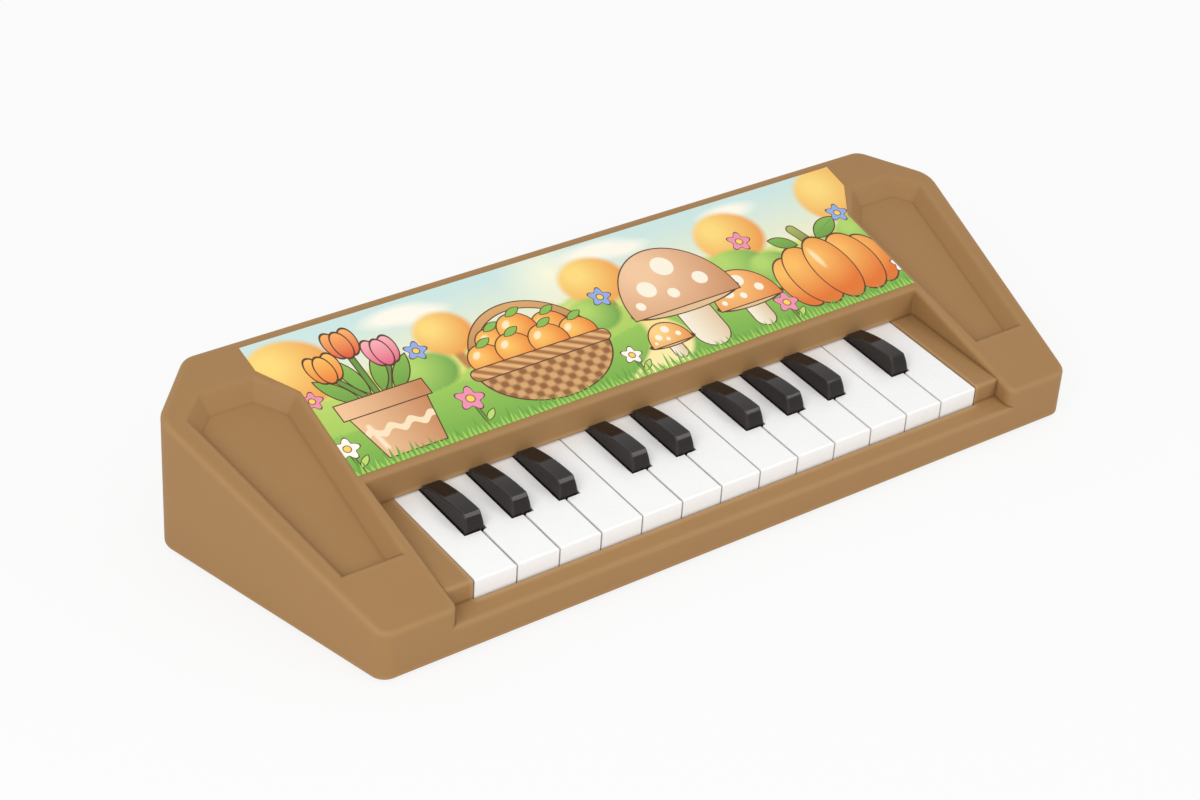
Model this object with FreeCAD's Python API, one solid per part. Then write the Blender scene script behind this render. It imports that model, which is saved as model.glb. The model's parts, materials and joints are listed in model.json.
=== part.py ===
import FreeCAD, Part
import math
import os

os.makedirs("parts", exist_ok=True)

V = FreeCAD.Vector

# Toy piano in millimetres. X runs along the keyboard, -Y is the player's side,
# +Z is up, and the origin lies on the table under the middle of the case.

# Keyboard
key_pitch = 15.0
key_gap = 0.6
white_notes = ["f3", "g3", "a3", "b3", "c4", "d4", "e4", "f4", "g4", "a4", "b4", "c5", "d5"]
key_length = 41.0
key_front_top = 17.1
key_rise = 3.8
key_overlap = 9.0
key_bottom = 9.2
key_wall = 1.5
key_edge_radius = 0.6
front_gap = 0.6
side_gap = 0.5
fallboard_gap = 0.5

# Sideways shift of each black key from the gap that it stands over
f_sharp_shift = -2.3
g_sharp_shift = -0.7
a_sharp_shift = 1.2
c_sharp_shift = -1.7
d_sharp_shift = 0.2

# Black key caps
black_length = 23.1
black_base_width = 6.9
black_top_width = 5.8
black_slot_width = 7.9
black_height = 5.4
black_middle_height = 4.6
black_back_height = 1.8
black_rake = 2.2
black_front_swell = 0.5
black_back_gap = 0.6
black_edge_radius = 0.45

# Case seen from above
rail_depth = 7.0
panel_depth = 60.0
shelf_width = 9.45
cheek_width = 43.45
side_taper = 18.15
back_corner_width = 18.65
back_corner_depth = 18.0
front_corner_radius = 5.0
side_corner_radius = 8.0
ridge_corner_radius = 7.0

# Case heights, measured up from the bottom edge of the case
foot_height = 1.2
cheek_height = 16.0
ridge_height = 49.6
rail_front_height = 9.7
rail_back_height = 11.3
shelf_lift = 0.3
case_wall = 2.2
top_edge_radius = 1.5
pocket_edge_radius = 1.6
bottom_edge_radius = 1.0
mouth_corner_radius = 3.0
well_corner_radius = 0.8
shelf_edge_radius = 0.8
rail_edge_radius = 0.9

# Cheek pockets: rims left round them, their cut corners and their depth
pocket_front_rim = 21.8
pocket_back_rim = 14.4
pocket_side_rim_front = 5.0
pocket_side_rim_back = 6.6
pocket_well_rim_front = 3.8
pocket_well_rim_back = 1.1
pocket_outer_cut_width = 8.3
pocket_outer_cut_depth = 7.0
pocket_inner_cut_width = 9.3
pocket_inner_cut_depth = 10.2
pocket_depth = 5.0
pocket_wall_slant = 3.9
pocket_corner_radius = 2.0
pocket_floor_radius = 0.4

# Printed label on the sloping panel
label_front_rim = 2.2
label_back_rim = 3.6
label_pocket_gap = 1.2
label_corner_step = 2.3
label_corner_rise = 1.5
label_thickness = 0.2

# Key pivot
pivot_set_back = 18.0
pivot_height = 13.8
pivot_radius = 1.25
running_clearance = 0.05
tail_width = 4.6
tail_height = 5.0
tail_boss_radius = 3.1
rod_end_stand = 0.6

# Carrier, felts and contacts under the keys
base_recess = 0.4
base_thickness = 2.0
base_gap = 0.3
carrier_thickness = 1.8
carrier_side_margin = 6.25
carrier_front_margin = 1.0
carrier_back_margin = 3.5
carrier_screw_front = 9.0
carrier_screw_back = 2.0
rib_thickness = 3.0
rib_front_margin = 3.8
rib_end_inset = 3.0
free_gap = 0.3
felt_thickness = 1.2
felt_front_margin = 2.5
felt_depth = 5.0
ledge_margin = 2.0
ledge_thickness = 2.0
dome_margin = 5.1
dome_radius = 2.4
dome_top_radius = 1.5
contact_board_front = 7.0
contact_board_back = 13.0
board_thickness = 1.2
rubber_depth = 10.0
rubber_sheet = 0.8
actuator_thickness = 1.6

# Speaker
speaker_set_back = 18.0
speaker_radius = 14.0
speaker_flange_width = 2.6
speaker_flange_thickness = 1.2
speaker_sheet = 0.8
basket_top_radius = 7.0
basket_height = 7.0
magnet_radius = 8.5
magnet_height = 5.0
cone_sheet = 0.5
cone_low_radius = 4.0
cone_rise = 3.6
cone_gap = 0.5
grille_margin = 1.4
grille_slot = 2.0
grille_pitch = 4.0
speaker_post_radius = 2.2

# Battery bay for two cells lying along X
cell_radius = 5.25
cell_length = 44.5
cell_nub_radius = 1.9
cell_nub_height = 1.0
cell_gap = 0.5
bay_wall = 1.6
contact_room = 3.2
contact_sheet = 0.4
contact_width = 7.0
door_margin = 7.5
door_gap = 0.4
door_screw_inset = 3.6
door_post_radius = 2.9
door_post_height = 6.0
door_finger_width = 12.0
door_finger_depth = 0.7

# Sound board and switch
inside_place_share = 0.37
sound_board_length = 54.0
sound_board_depth = 22.0
sound_board_stand = 4.4
stand_radius = 2.4
stand_inset = 4.0
chip_radius = 6.0
chip_height = 2.4
switch_offset = 4.0
switch_length = 13.0
switch_width = 6.0
switch_height = 6.0
knob_length = 3.4
knob_width = 2.6
knob_travel = 4.0
knob_groove = 0.4
knob_recess = 0.4

# Fasteners, feet and wires
front_boss_side_inset = 11.5
front_boss_inset = 13.0
back_boss_side_inset = 2.0
back_boss_inset = 10.0
middle_boss_inset = 8.5
screw_radius = 1.3
screw_head_radius = 2.5
screw_head_height = 1.7
case_screw_length = 9.0
small_screw_length = 2.8
door_screw_length = 5.0
screw_slot = 0.7
screw_slot_depth = 0.8
boss_radius = 3.6
cup_radius = 4.2
cup_height = 5.6
cup_floor = 1.8
front_foot_side_inset = 2.5
front_foot_inset = 5.0
back_foot_side_inset = 28.0
back_foot_inset = 10.0
foot_radius = 4.5
foot_pin_radius = 1.8
foot_edge = 0.5
wire_radius = 0.6
wire_bend = 3.0
wire_spacing = 2.4
ribbon_width = 18.0
ribbon_thickness = 0.8
ribbon_bend_share = 0.4
overrun = 5.0
near = 0.2

# Places along X that follow from the sizes above
white_count = len(white_notes)
keyboard_half = white_count * key_pitch / 2
slot_half = keyboard_half - key_gap / 2 + side_gap
well_half = slot_half + shelf_width
side_half = well_half + cheek_width
front_half = side_half - side_taper
ridge_half = side_half - back_corner_width
carrier_half = slot_half + carrier_side_margin
end_rib_x = carrier_half - rib_end_inset
bay_x = inside_place_share * ridge_half
bay_length = cell_length + cell_nub_height + 2 * contact_room
bay_left_x = bay_x - bay_length / 2
bay_right_x = bay_x + bay_length / 2
sound_board_x = -inside_place_share * ridge_half
sound_board_left_x = sound_board_x - sound_board_length / 2
sound_board_right_x = sound_board_x + sound_board_length / 2
switch_x = -switch_offset

# Places along Y
case_depth = rail_depth + key_length + panel_depth
front_y = -case_depth / 2
back_y = case_depth / 2
corner_y = back_y - back_corner_depth
key_front_y = front_y + rail_depth
fallboard_y = key_front_y + key_length
key_end_y = fallboard_y + key_overlap
ledge_back_y = key_end_y + ledge_margin
black_front_y = fallboard_y - black_length
pivot_y = fallboard_y + pivot_set_back
carrier_front_y = key_front_y + carrier_front_margin
carrier_back_y = pivot_y + carrier_back_margin
rib_front_y = pivot_y - rib_front_margin
dome_y = black_front_y + dome_margin
speaker_y = fallboard_y + speaker_set_back
inside_y = (carrier_back_y + back_y - case_wall) / 2
sound_board_front_y = inside_y - sound_board_depth / 2
sound_board_back_y = inside_y + sound_board_depth / 2

# Heights above the table, slopes and other values
floor_z = foot_height
base_bottom = floor_z + base_recess
base_top = base_bottom + base_thickness
carrier_top = base_top + carrier_thickness
key_low = floor_z + key_bottom
pivot_z = floor_z + pivot_height
sound_board_z = base_top + sound_board_stand
cell_z = base_top + cell_gap + cell_radius
bay_roof = cell_z + cell_radius + cell_gap
bay_inner_half = 2 * cell_radius + cell_gap
top_slope_share = (ridge_height - cheek_height) / case_depth
key_slope_share = key_rise / key_length
wall_drop = case_wall * math.hypot(1, top_slope_share)
sharp_shifts = {"f": f_sharp_shift, "g": g_sharp_shift, "a": a_sharp_shift}
sharp_shifts.update({"c": c_sharp_shift, "d": d_sharp_shift})


def panel_z(y):
    """Height of the sloping top plane."""
    return floor_z + cheek_height + top_slope_share * (y - front_y)


def rail_z(y):
    """Height of the low rail in front of the keys."""
    rise = rail_back_height - rail_front_height
    return floor_z + rail_front_height + rise * (y - front_y) / rail_depth


def key_z(y):
    """Height of the white key tops at rest."""
    return floor_z + key_front_top + key_slope_share * (y - key_front_y)


def gap_x(index):
    """Middle of the gap to the left of a white key."""
    return index * key_pitch - keyboard_half


def prism(points, low, high):
    ring = [V(x, y, low) for x, y in points + points[:1]]
    return Part.Face(Part.makePolygon(ring)).extrude(V(0, 0, high - low))


def bar(profile, left, right):
    """A y-z profile drawn out along X."""
    ring = [V(left, y, z) for y, z in profile + profile[:1]]
    return Part.Face(Part.makePolygon(ring)).extrude(V(right - left, 0, 0))


def block(left, right, front, back, low, high):
    return Part.makeBox(right - left, back - front, high - low, V(left, front, low))


def post(x, y, radius, low, high):
    return Part.makeCylinder(radius, high - low, V(x, y, low))


def rod(radius, left, right, y, z):
    return Part.makeCylinder(radius, right - left, V(left, y, z), V(1, 0, 0))


def turned(profile, x, y):
    """A radius-height profile turned about an upright axis."""
    ring = [V(x + r, y, z) for r, z in profile + profile[:1]]
    return Part.Face(Part.makePolygon(ring)).revolve(V(x, y, 0), V(0, 0, 1), 360)


def joined(solids):
    return solids[0].multiFuse(solids[1:]).removeSplitter()


def inset(points, distance):
    """Corners of an anticlockwise outline moved inward by one distance."""
    moved = []
    for i, (x, y) in enumerate(points):
        bx, by = points[i - 1]
        ax, ay = points[(i + 1) % len(points)]
        before = math.hypot(x - bx, y - by)
        after = math.hypot(ax - x, ay - y)
        nx = (by - y) / before + (y - ay) / after
        ny = (x - bx) / before + (ax - x) / after
        turn = (nx * nx + ny * ny) / 2
        moved.append((x + distance * nx / turn, y + distance * ny / turn))
    return moved


def mirrored(shape):
    return shape.mirror(V(0, 0, 0), V(1, 0, 0))


def case_outline():
    right = [(front_half, front_y), (side_half, corner_y), (ridge_half, back_y)]
    return [(-front_half, front_y)] + right + [(-ridge_half, back_y), (-side_half, corner_y)]


def side_x(y):
    """Half length of the case at a depth along its slanted side."""
    return front_half + side_taper * (y - front_y) / (corner_y - front_y)


def inner_edge_x(y):
    """Distance of a pocket's inner edge from the middle of the case."""
    front, back = front_y + pocket_front_rim, back_y - pocket_back_rim - pocket_inner_cut_depth
    narrowing = (pocket_well_rim_front - pocket_well_rim_back) * (y - front) / (back - front)
    return well_half + pocket_well_rim_front - narrowing


def pocket_corners():
    """Corners of the left pocket seen from above, anticlockwise from its outer back corner."""
    front, back = front_y + pocket_front_rim, back_y - pocket_back_rim
    outer_y, inner_y = back - pocket_outer_cut_depth, back - pocket_inner_cut_depth
    outer_x = side_x(outer_y) - pocket_side_rim_back
    inner_x = inner_edge_x(inner_y)
    corners = [(outer_x, outer_y), (side_x(front) - pocket_side_rim_front, front)]
    corners += [(inner_edge_x(front), front), (inner_x, inner_y)]
    corners += [(inner_x + pocket_inner_cut_width, back), (outer_x - pocket_outer_cut_width, back)]
    return [(-x, y) for x, y in corners]


def upright_edges(shape, x, y):
    """Upright edges of a shape at a place seen from above, either side of the middle."""
    found = []
    for edge in shape.Edges:
        first, last = edge.Vertexes[0].Point, edge.Vertexes[-1].Point
        spread = math.hypot(first.x - last.x, first.y - last.y)
        away = math.hypot(abs(first.x) - abs(x), first.y - y)
        if spread < near and away < near:
            found.append(edge)
    return found


def case_body(reduce, drop, low):
    """The case as a wedge, made smaller all round for its inside."""
    outline = inset(case_outline(), reduce)
    body = prism(outline, low, floor_z + ridge_height + overrun)
    radii = [front_corner_radius, front_corner_radius, side_corner_radius, ridge_corner_radius]
    for (x, y), radius in list(zip(outline, radii))[1:]:
        body = body.makeFillet(radius - reduce, upright_edges(body, x, y))
    far = case_depth
    under = low - overrun
    side = [(-far, under), (far, under), (far, panel_z(far) - drop), (-far, panel_z(-far) - drop)]
    return body.common(bar(side, -2 * side_half, 2 * side_half))


def pocket_rim(outline):
    return Part.makePolygon([V(x, y, panel_z(y)) for x, y in outline + outline[:1]])


def pocket(grow):
    """One pocket with slanted walls, or that pocket thickened by a wall."""
    outline = inset(pocket_corners(), -grow)
    floor = inset(outline, pocket_wall_slant)
    depth = pocket_depth + grow
    rim = pocket_rim(outline)
    bed = Part.makePolygon([V(x, y, panel_z(y) - depth) for x, y in floor + floor[:1]])
    tray = Part.makeLoft([rim, bed], True, True)
    cap = Part.Face(rim).extrude(V(0, 0, overrun))
    return tray.fuse(cap)


def well(grow):
    """The open space over the keyboard, or that space thickened by a wall."""
    wall_y = fallboard_y + grow
    high = floor_z + ridge_height + overrun
    shelf = [key_front_y + grow, fallboard_y + grow]
    lift = shelf_lift - grow
    rail = [(y, rail_z(y) - grow) for y in (front_y - overrun, shelf[0])]
    bed = [(y, key_z(y) + lift) for y in shelf]
    side = rail + bed + [(wall_y, high), (front_y - overrun, high)]
    half = well_half + grow
    return bar(side, -half, half)


def key_slot():
    """The hole in the floor of the well that the keys stand in."""
    start = key_front_y - front_gap
    stop = fallboard_y + case_wall + overrun
    roof = [(y, key_z(y) + fallboard_gap) for y in (stop, start)]
    return bar([(start, 0), (stop, 0)] + roof, -slot_half, slot_half)


def on_panel(edge):
    points = [v.Point for v in edge.Vertexes] + [edge.CenterOfMass]
    return all(abs(p.z - panel_z(p.y)) < near for p in points)


def from_pocket(edge):
    """Distance of an edge's middle from the rim of the pocket on its side."""
    middle = edge.CenterOfMass
    middle.x = -abs(middle.x)
    return pocket_rim(pocket_corners()).distToShape(Part.Vertex(middle))[0]


def on_pocket_floor(edge):
    ends = [v.Point for v in edge.Vertexes]
    return all(abs(p.x) > well_half and abs(p.z - panel_z(p.y) + pocket_depth) < near for p in ends)


def down_pocket_corner(edge):
    """Whether an edge runs down the wall of a pocket at one of its back corners."""
    ends = [v.Point for v in edge.Vertexes]
    high, low = sorted(panel_z(p.y) - p.z for p in (ends[0], ends[-1]))
    back = all(abs(p.x) > well_half and p.y > fallboard_y for p in ends)
    return back and abs(high) < near and abs(low - pocket_depth) < near


def lies_along(edge, y, z):
    """Whether an edge runs along the keyboard at a depth and a height."""
    ends = [v.Point for v in edge.Vertexes]
    return all(abs(p.y - y) < near and abs(p.z - z) < near for p in ends)


def case_outside():
    """The case with its pockets, well and rounded edges, not yet hollow."""
    body = case_body(0, 0, floor_z)
    left = pocket(0)
    body = body.cut(left).cut(mirrored(left)).cut(well(0))
    body = body.makeFillet(mouth_corner_radius, upright_edges(body, well_half, front_y))
    shelf = [e for e in body.Edges if lies_along(e, key_front_y, key_z(key_front_y) + shelf_lift)]
    body = body.makeFillet(shelf_edge_radius, shelf)
    body = body.makeFillet(well_corner_radius, upright_edges(body, well_half, fallboard_y))
    body = body.makeFillet(pocket_corner_radius, [e for e in body.Edges if down_pocket_corner(e)])
    body = body.makeFillet(pocket_floor_radius, [e for e in body.Edges if on_pocket_floor(e)])
    rims = [e for e in body.Edges if on_panel(e) and from_pocket(e) < pocket_corner_radius / 2]
    body = body.makeFillet(pocket_edge_radius, rims)
    brow = [e for e in body.Edges if on_panel(e) and from_pocket(e) > pocket_edge_radius]
    body = body.makeFillet(top_edge_radius, brow)
    rail = [e for e in body.Edges if lies_along(e, front_y, rail_z(front_y))]
    body = body.makeFillet(rail_edge_radius, rail)
    low = [e for e in body.Edges if all(v.Z < floor_z + near for v in e.Vertexes)]
    return body.makeFillet(bottom_edge_radius, low)


def rear_ledge():
    """Inside shelf behind the fallboard that carries the upper felt."""
    under = fallboard_gap + felt_thickness
    low = [(y, key_z(y) + under) for y in (fallboard_y + case_wall / 2, ledge_back_y)]
    high = [(y, z + ledge_thickness) for y, z in reversed(low)]
    return bar(low + high, -slot_half, slot_half)


def upper_case():
    outside = case_outside()
    thick = pocket(case_wall)
    room = case_body(case_wall, wall_drop, 0)
    room = room.cut(thick).cut(mirrored(thick)).cut(well(case_wall))
    shell = outside.cut(room).cut(key_slot())
    extras = [rear_ledge()]
    for x, y in case_screw_places():
        boss = post(x, y, boss_radius, base_bottom + cup_height, floor_z + ridge_height)
        extras.append(boss.common(outside))
    shell = joined([shell] + extras)
    for x, y in case_screw_places():
        start = base_bottom + cup_height - overrun
        stop = base_bottom + cup_floor + case_screw_length
        shell = shell.cut(post(x, y, screw_radius, start, stop))
    return shell


def artwork_label():
    low, top = fallboard_y + label_front_rim, back_y - label_back_rim
    bend_y = back_y - pocket_back_rim - pocket_inner_cut_depth
    bend_x = inner_edge_x(bend_y)
    end_x = bend_x + pocket_inner_cut_width - label_corner_step
    end_y = back_y - pocket_back_rim + label_corner_rise
    half = [(inner_edge_x(low) - label_pocket_gap, low), (bend_x - label_pocket_gap, bend_y)]
    half += [(end_x, end_y), (end_x, top)]
    outline = half + [(-x, y) for x, y in reversed(half)]
    ring = [V(x, y, panel_z(y)) for x, y in outline + outline[:1]]
    lean = math.hypot(1, top_slope_share)
    normal = V(0, -top_slope_share / lean, 1 / lean)
    return Part.Face(Part.makePolygon(ring)).extrude(normal * label_thickness)


def tail(x):
    """The narrow rear arm of a key with its pivot eye."""
    left, right = x - tail_width / 2, x + tail_width / 2
    half = tail_height / 2
    arm = block(left, right, key_end_y - key_wall, pivot_y, pivot_z - half, pivot_z + half)
    return [arm, rod(tail_boss_radius, left, right, pivot_y, pivot_z)]


def pivot_hole(x):
    return rod(pivot_radius + running_clearance, x - tail_width, x + tail_width, pivot_y, pivot_z)


def black_keys():
    """Name and middle of each black key, from the left."""
    found = []
    for i, note in enumerate(white_notes[:-1]):
        if note[0] in sharp_shifts:
            found.append((note[0] + "_sharp" + note[1:], i, gap_x(i + 1) + sharp_shifts[note[0]]))
    return found


def white_outline(index):
    """Plan of a white key, wide in front and notched for its black neighbours."""
    left = gap_x(index) + key_gap / 2
    right = gap_x(index + 1) - key_gap / 2
    back_left, back_right = left, right
    for name, before, x in black_keys():
        if before == index - 1:
            back_left = x + black_slot_width / 2
        if before == index:
            back_right = x - black_slot_width / 2
    notch_y = black_front_y - (black_slot_width - black_base_width) / 2
    points = [(left, key_front_y), (right, key_front_y)]
    if back_right < right:
        points += [(right, notch_y), (back_right, notch_y)]
    points += [(back_right, key_end_y), (back_left, key_end_y)]
    if back_left > left:
        points += [(back_left, notch_y), (left, notch_y)]
    return points, (back_left + back_right) / 2


def under_keys(drop):
    """Everything below the plane of the key tops, lowered by a drop."""
    far = case_depth
    top = [(y, key_z(y) - drop) for y in (far, -far)]
    return bar([(-far, 0), (far, 0)] + top, -side_half, side_half)


def white_key(index):
    outline, tail_x = white_outline(index)
    body = prism(outline, key_low, floor_z + ridge_height).common(under_keys(0))
    edges = []
    for edge in body.Edges:
        ends = [v.Point for v in edge.Vertexes]
        on_top = all(abs(p.z - key_z(p.y)) < near for p in ends)
        if on_top and all(p.y < fallboard_y for p in ends) and edge.Length > key_pitch / 2:
            edges.append(edge)
    body = body.makeFillet(key_edge_radius, edges)
    hollow = prism(inset(outline, key_wall), key_low - overrun, floor_z + ridge_height)
    hollow = hollow.common(under_keys(key_wall))
    half = actuator_thickness / 2
    low = key_low + free_gap
    pusher = block(gap_x(index), gap_x(index + 1), dome_y - half, dome_y + half, low, key_z(dome_y))
    key = joined([body.cut(hollow), pusher.common(body)] + tail(tail_x))
    return key.cut(pivot_hole(tail_x))


def black_cap(x):
    """The tall part of a black key, with a swelling front and a top that curves down to the fallboard."""
    back = fallboard_y - black_back_gap
    middle = (black_front_y + back) / 2
    low_front = V(x, black_front_y, key_low)
    heel = V(x, black_front_y, key_z(black_front_y))
    brow = V(x, black_front_y + black_rake, key_z(black_front_y + black_rake) + black_height)
    forward = V(0, heel.z - brow.z, brow.y - heel.y).normalize()
    swell = (heel + brow) / 2 + forward * black_front_swell
    crest = V(x, middle, key_z(middle) + black_middle_height)
    rear = V(x, back, key_z(back) + black_back_height)
    low_rear = V(x, back, key_low)
    edges = [Part.LineSegment(low_front, heel), Part.Arc(heel, swell, brow), Part.Arc(brow, crest, rear)]
    edges += [Part.LineSegment(rear, low_rear), Part.LineSegment(low_rear, low_front)]
    face = Part.Face(Part.Wire([e.toShape() for e in edges]))
    half = black_base_width / 2
    face.translate(V(-half, 0, 0))
    return face.extrude(V(black_base_width, 0, 0))


def black_taper(x):
    """Slanted sides of a black key, drawn out along the slope of the keyboard."""
    start = black_front_y - overrun
    half, top = black_base_width / 2, black_top_width / 2
    low, base = start - overrun, key_z(start)
    high = base + black_height
    points = [(-half, low), (half, low), (half, base), (top, high), (-top, high), (-half, base)]
    ring = [V(x + px, start, pz) for px, pz in points + points[:1]]
    reach = case_depth
    return Part.Face(Part.makePolygon(ring)).extrude(V(0, reach, reach * key_slope_share))


def black_key(x):
    cap = black_cap(x).common(black_taper(x))
    edges = []
    for edge in cap.Edges:
        ends = [v.Point for v in edge.Vertexes]
        front = all(p.y < black_front_y + black_rake * 2 for p in ends)
        high = all(p.z > key_z(p.y) + black_back_height / 2 for p in ends)
        rear = all(p.y > fallboard_y - 2 * black_back_gap for p in ends)
        rising = front and max(p.z - key_z(p.y) for p in ends) > black_height / 2
        if not rear and (high or rising):
            edges.append(edge)
    cap = cap.makeFillet(black_edge_radius, edges)
    half = black_base_width / 2
    back = fallboard_y - black_back_gap - key_wall
    heel = block(x - half, x + half, back, key_end_y, key_low, floor_z + ridge_height).common(under_keys(0))
    inner = half - key_wall
    start, stop = black_front_y + key_wall, key_end_y - key_wall
    hollow = block(x - inner, x + inner, start, stop, 0, floor_z + ridge_height).common(under_keys(key_wall))
    body = joined([cap, heel]).cut(hollow)
    half_rib = actuator_thickness / 2
    low = key_low + free_gap
    pusher = block(x - half, x + half, dome_y - half_rib, dome_y + half_rib, low, key_z(dome_y))
    return joined([body, pusher] + tail(x)).cut(pivot_hole(x))


def rib_places():
    """Carrier ribs: both ends, and each gap that has no black key."""
    taken = [i + 1 for name, i, x in black_keys()]
    inner = [gap_x(i) for i in range(1, white_count) if i not in taken]
    return [-end_rib_x] + inner + [end_rib_x]


def case_screw_places():
    front_x, back_x = front_half - front_boss_side_inset, ridge_half - back_boss_side_inset
    places = [(0, back_y - middle_boss_inset)]
    for side in (-1, 1):
        places.append((side * front_x, front_y + front_boss_inset))
        places.append((side * back_x, back_y - back_boss_inset))
    return places


def carrier_screw_places():
    rows = [key_front_y + carrier_screw_front, fallboard_y + carrier_screw_back]
    return [(side * end_rib_x, y) for side in (-1, 1) for y in rows]


def foot_places():
    front_x, back_x = keyboard_half - front_foot_side_inset, ridge_half - back_foot_side_inset
    places = []
    for side in (-1, 1):
        places.append((side * front_x, key_front_y + front_foot_inset))
        places.append((side * back_x, back_y - back_foot_inset))
    return places


def key_carrier():
    slab = block(-carrier_half, carrier_half, carrier_front_y, carrier_back_y, base_top, carrier_top)
    ribs = []
    high = pivot_z + tail_boss_radius
    half = rib_thickness / 2
    for x in rib_places():
        ribs.append(block(x - half, x + half, rib_front_y, carrier_back_y, base_top, high))
    carrier = joined([slab] + ribs)
    reach = end_rib_x + rib_thickness
    carrier = carrier.cut(rod(pivot_radius, -reach, reach, pivot_y, pivot_z))
    for x, y in carrier_screw_places():
        carrier = carrier.cut(post(x, y, screw_radius, 0, carrier_top + overrun))
    return carrier


def key_pivot_rod():
    reach = end_rib_x + rib_thickness / 2 + rod_end_stand
    return rod(pivot_radius, -reach, reach, pivot_y, pivot_z)


def key_downstop_felt():
    front = key_front_y + felt_front_margin
    top = carrier_top + felt_thickness
    return block(-keyboard_half, keyboard_half, front, front + felt_depth, carrier_top, top)


def key_upstop_felt():
    low = [(y, key_z(y) + fallboard_gap) for y in (fallboard_y + case_wall + free_gap, ledge_back_y)]
    high = [(y, z + felt_thickness) for y, z in reversed(low)]
    return bar(low + high, -keyboard_half, keyboard_half)


def key_contact_board():
    front, back = dome_y - contact_board_front, dome_y + contact_board_back
    return block(-keyboard_half, keyboard_half, front, back, carrier_top, carrier_top + board_thickness)


def dome_places():
    whites = [white_outline(i)[1] for i in range(white_count)]
    return sorted(whites + [x for name, i, x in black_keys()])


def contact_rubber_strip():
    low = carrier_top + board_thickness
    high = low + rubber_sheet
    half = rubber_depth / 2
    strip = block(-keyboard_half, keyboard_half, dome_y - half, dome_y + half, low, high)
    for x in dome_places():
        rise = key_low - high
        strip = strip.fuse(Part.makeCone(dome_radius, dome_top_radius, rise, V(x, dome_y, high)))
    return strip.removeSplitter()


def screw(x, y, seat, length, up):
    """A slotted screw; its head lies below the seat when the screw points up."""
    way = 1 if up else -1
    shank = Part.makeCylinder(screw_radius, length, V(x, y, seat), V(0, 0, way))
    head = Part.makeCylinder(screw_head_radius, screw_head_height, V(x, y, seat), V(0, 0, -way))
    end = seat - way * screw_head_height
    inner = end + way * screw_slot_depth
    low, high = min(end, inner), max(end, inner)
    half = screw_slot / 2
    slot = block(x - screw_head_radius, x + screw_head_radius, y - half, y + half, low, high)
    return joined([shank, head]).cut(slot)


def case_screws():
    seat = base_bottom + cup_floor
    return Part.makeCompound([screw(x, y, seat, case_screw_length, True) for x, y in case_screw_places()])


def carrier_screws():
    places = carrier_screw_places()
    return Part.makeCompound([screw(x, y, carrier_top, small_screw_length, False) for x, y in places])


def speaker_x():
    """Middle of the room between the key carrier and the side of the case."""
    return -(carrier_half + side_x(speaker_y) - case_wall) / 2


def speaker_screw_places():
    ring = speaker_radius + speaker_post_radius
    return [(speaker_x(), speaker_y - ring), (speaker_x(), speaker_y + ring)]


def speaker_screws():
    seat = base_top + speaker_flange_thickness
    places = speaker_screw_places()
    return Part.makeCompound([screw(x, y, seat, small_screw_length, False) for x, y in places])


def speaker_frame():
    inner = speaker_radius - speaker_flange_width
    low = base_top
    rim = low + speaker_flange_thickness
    top = low + basket_height
    sheet = speaker_sheet
    inner_top = basket_top_radius - sheet
    outside = [(speaker_radius, low), (speaker_radius, rim), (inner + sheet, rim), (basket_top_radius, top)]
    inside = [(0, top), (0, top - sheet), (inner_top, top - sheet), (inner, rim), (inner, low)]
    return turned(outside + inside, speaker_x(), speaker_y)


def speaker_magnet():
    low = base_top + basket_height
    return post(speaker_x(), speaker_y, magnet_radius, low, low + magnet_height)


def speaker_cone():
    rim = speaker_radius - speaker_flange_width
    low = base_top
    outside = [(0, low + cone_rise), (cone_low_radius, low + cone_rise), (rim - cone_gap, low), (rim, low)]
    inside = [(r, z + cone_sheet) for r, z in reversed(outside)]
    return turned(outside + inside, speaker_x(), speaker_y)


def grille():
    """Slots under the speaker, each cut to the round grille."""
    radius = speaker_radius - speaker_flange_width - grille_margin
    left, front, high = speaker_x() - radius, speaker_y - radius, base_top + overrun
    field = post(speaker_x(), speaker_y, radius, 0, high)
    slots = []
    for i in range(1, int(2 * radius / grille_pitch)):
        x = left + i * grille_pitch
        slots.append(block(x, x + grille_slot, front, front + 2 * radius, 0, high))
    return Part.makeCompound(slots).common(field)


def door_box(grow):
    """Outline box of the battery door in the plane of the base plate."""
    left, right = bay_left_x - door_margin, bay_right_x + door_margin
    half = bay_inner_half - door_gap + grow
    return block(left - grow, right + grow, inside_y - half, inside_y + half, base_bottom, base_top)


def door_screw_places():
    left, right = bay_left_x - door_screw_inset, bay_right_x + door_screw_inset
    return [(left, inside_y), (right, inside_y)]


def battery_bay():
    """Walls and roof over the cells, with a post for a screw at each end."""
    left, right = bay_left_x - bay_wall, bay_right_x + bay_wall
    half = bay_inner_half + bay_wall
    shell = block(left, right, inside_y - half, inside_y + half, base_top, bay_roof + bay_wall)
    posts = []
    for x, y in door_screw_places():
        posts.append(post(x, y, door_post_radius, base_top + free_gap, base_top + door_post_height))
    bay = joined([shell] + posts)
    front, back = inside_y - bay_inner_half, inside_y + bay_inner_half
    bay = bay.cut(block(bay_left_x, bay_right_x, front, back, 0, bay_roof))
    bore_top = base_bottom + base_thickness / 2 + door_screw_length + free_gap
    for x, y in door_screw_places():
        bay = bay.cut(post(x, y, screw_radius + running_clearance, 0, bore_top))
    for y, way in cell_rows():
        bay = bay.cut(post(bay_left_x + wire_radius, y, wire_radius, 0, bay_roof + overrun))
    return bay


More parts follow.
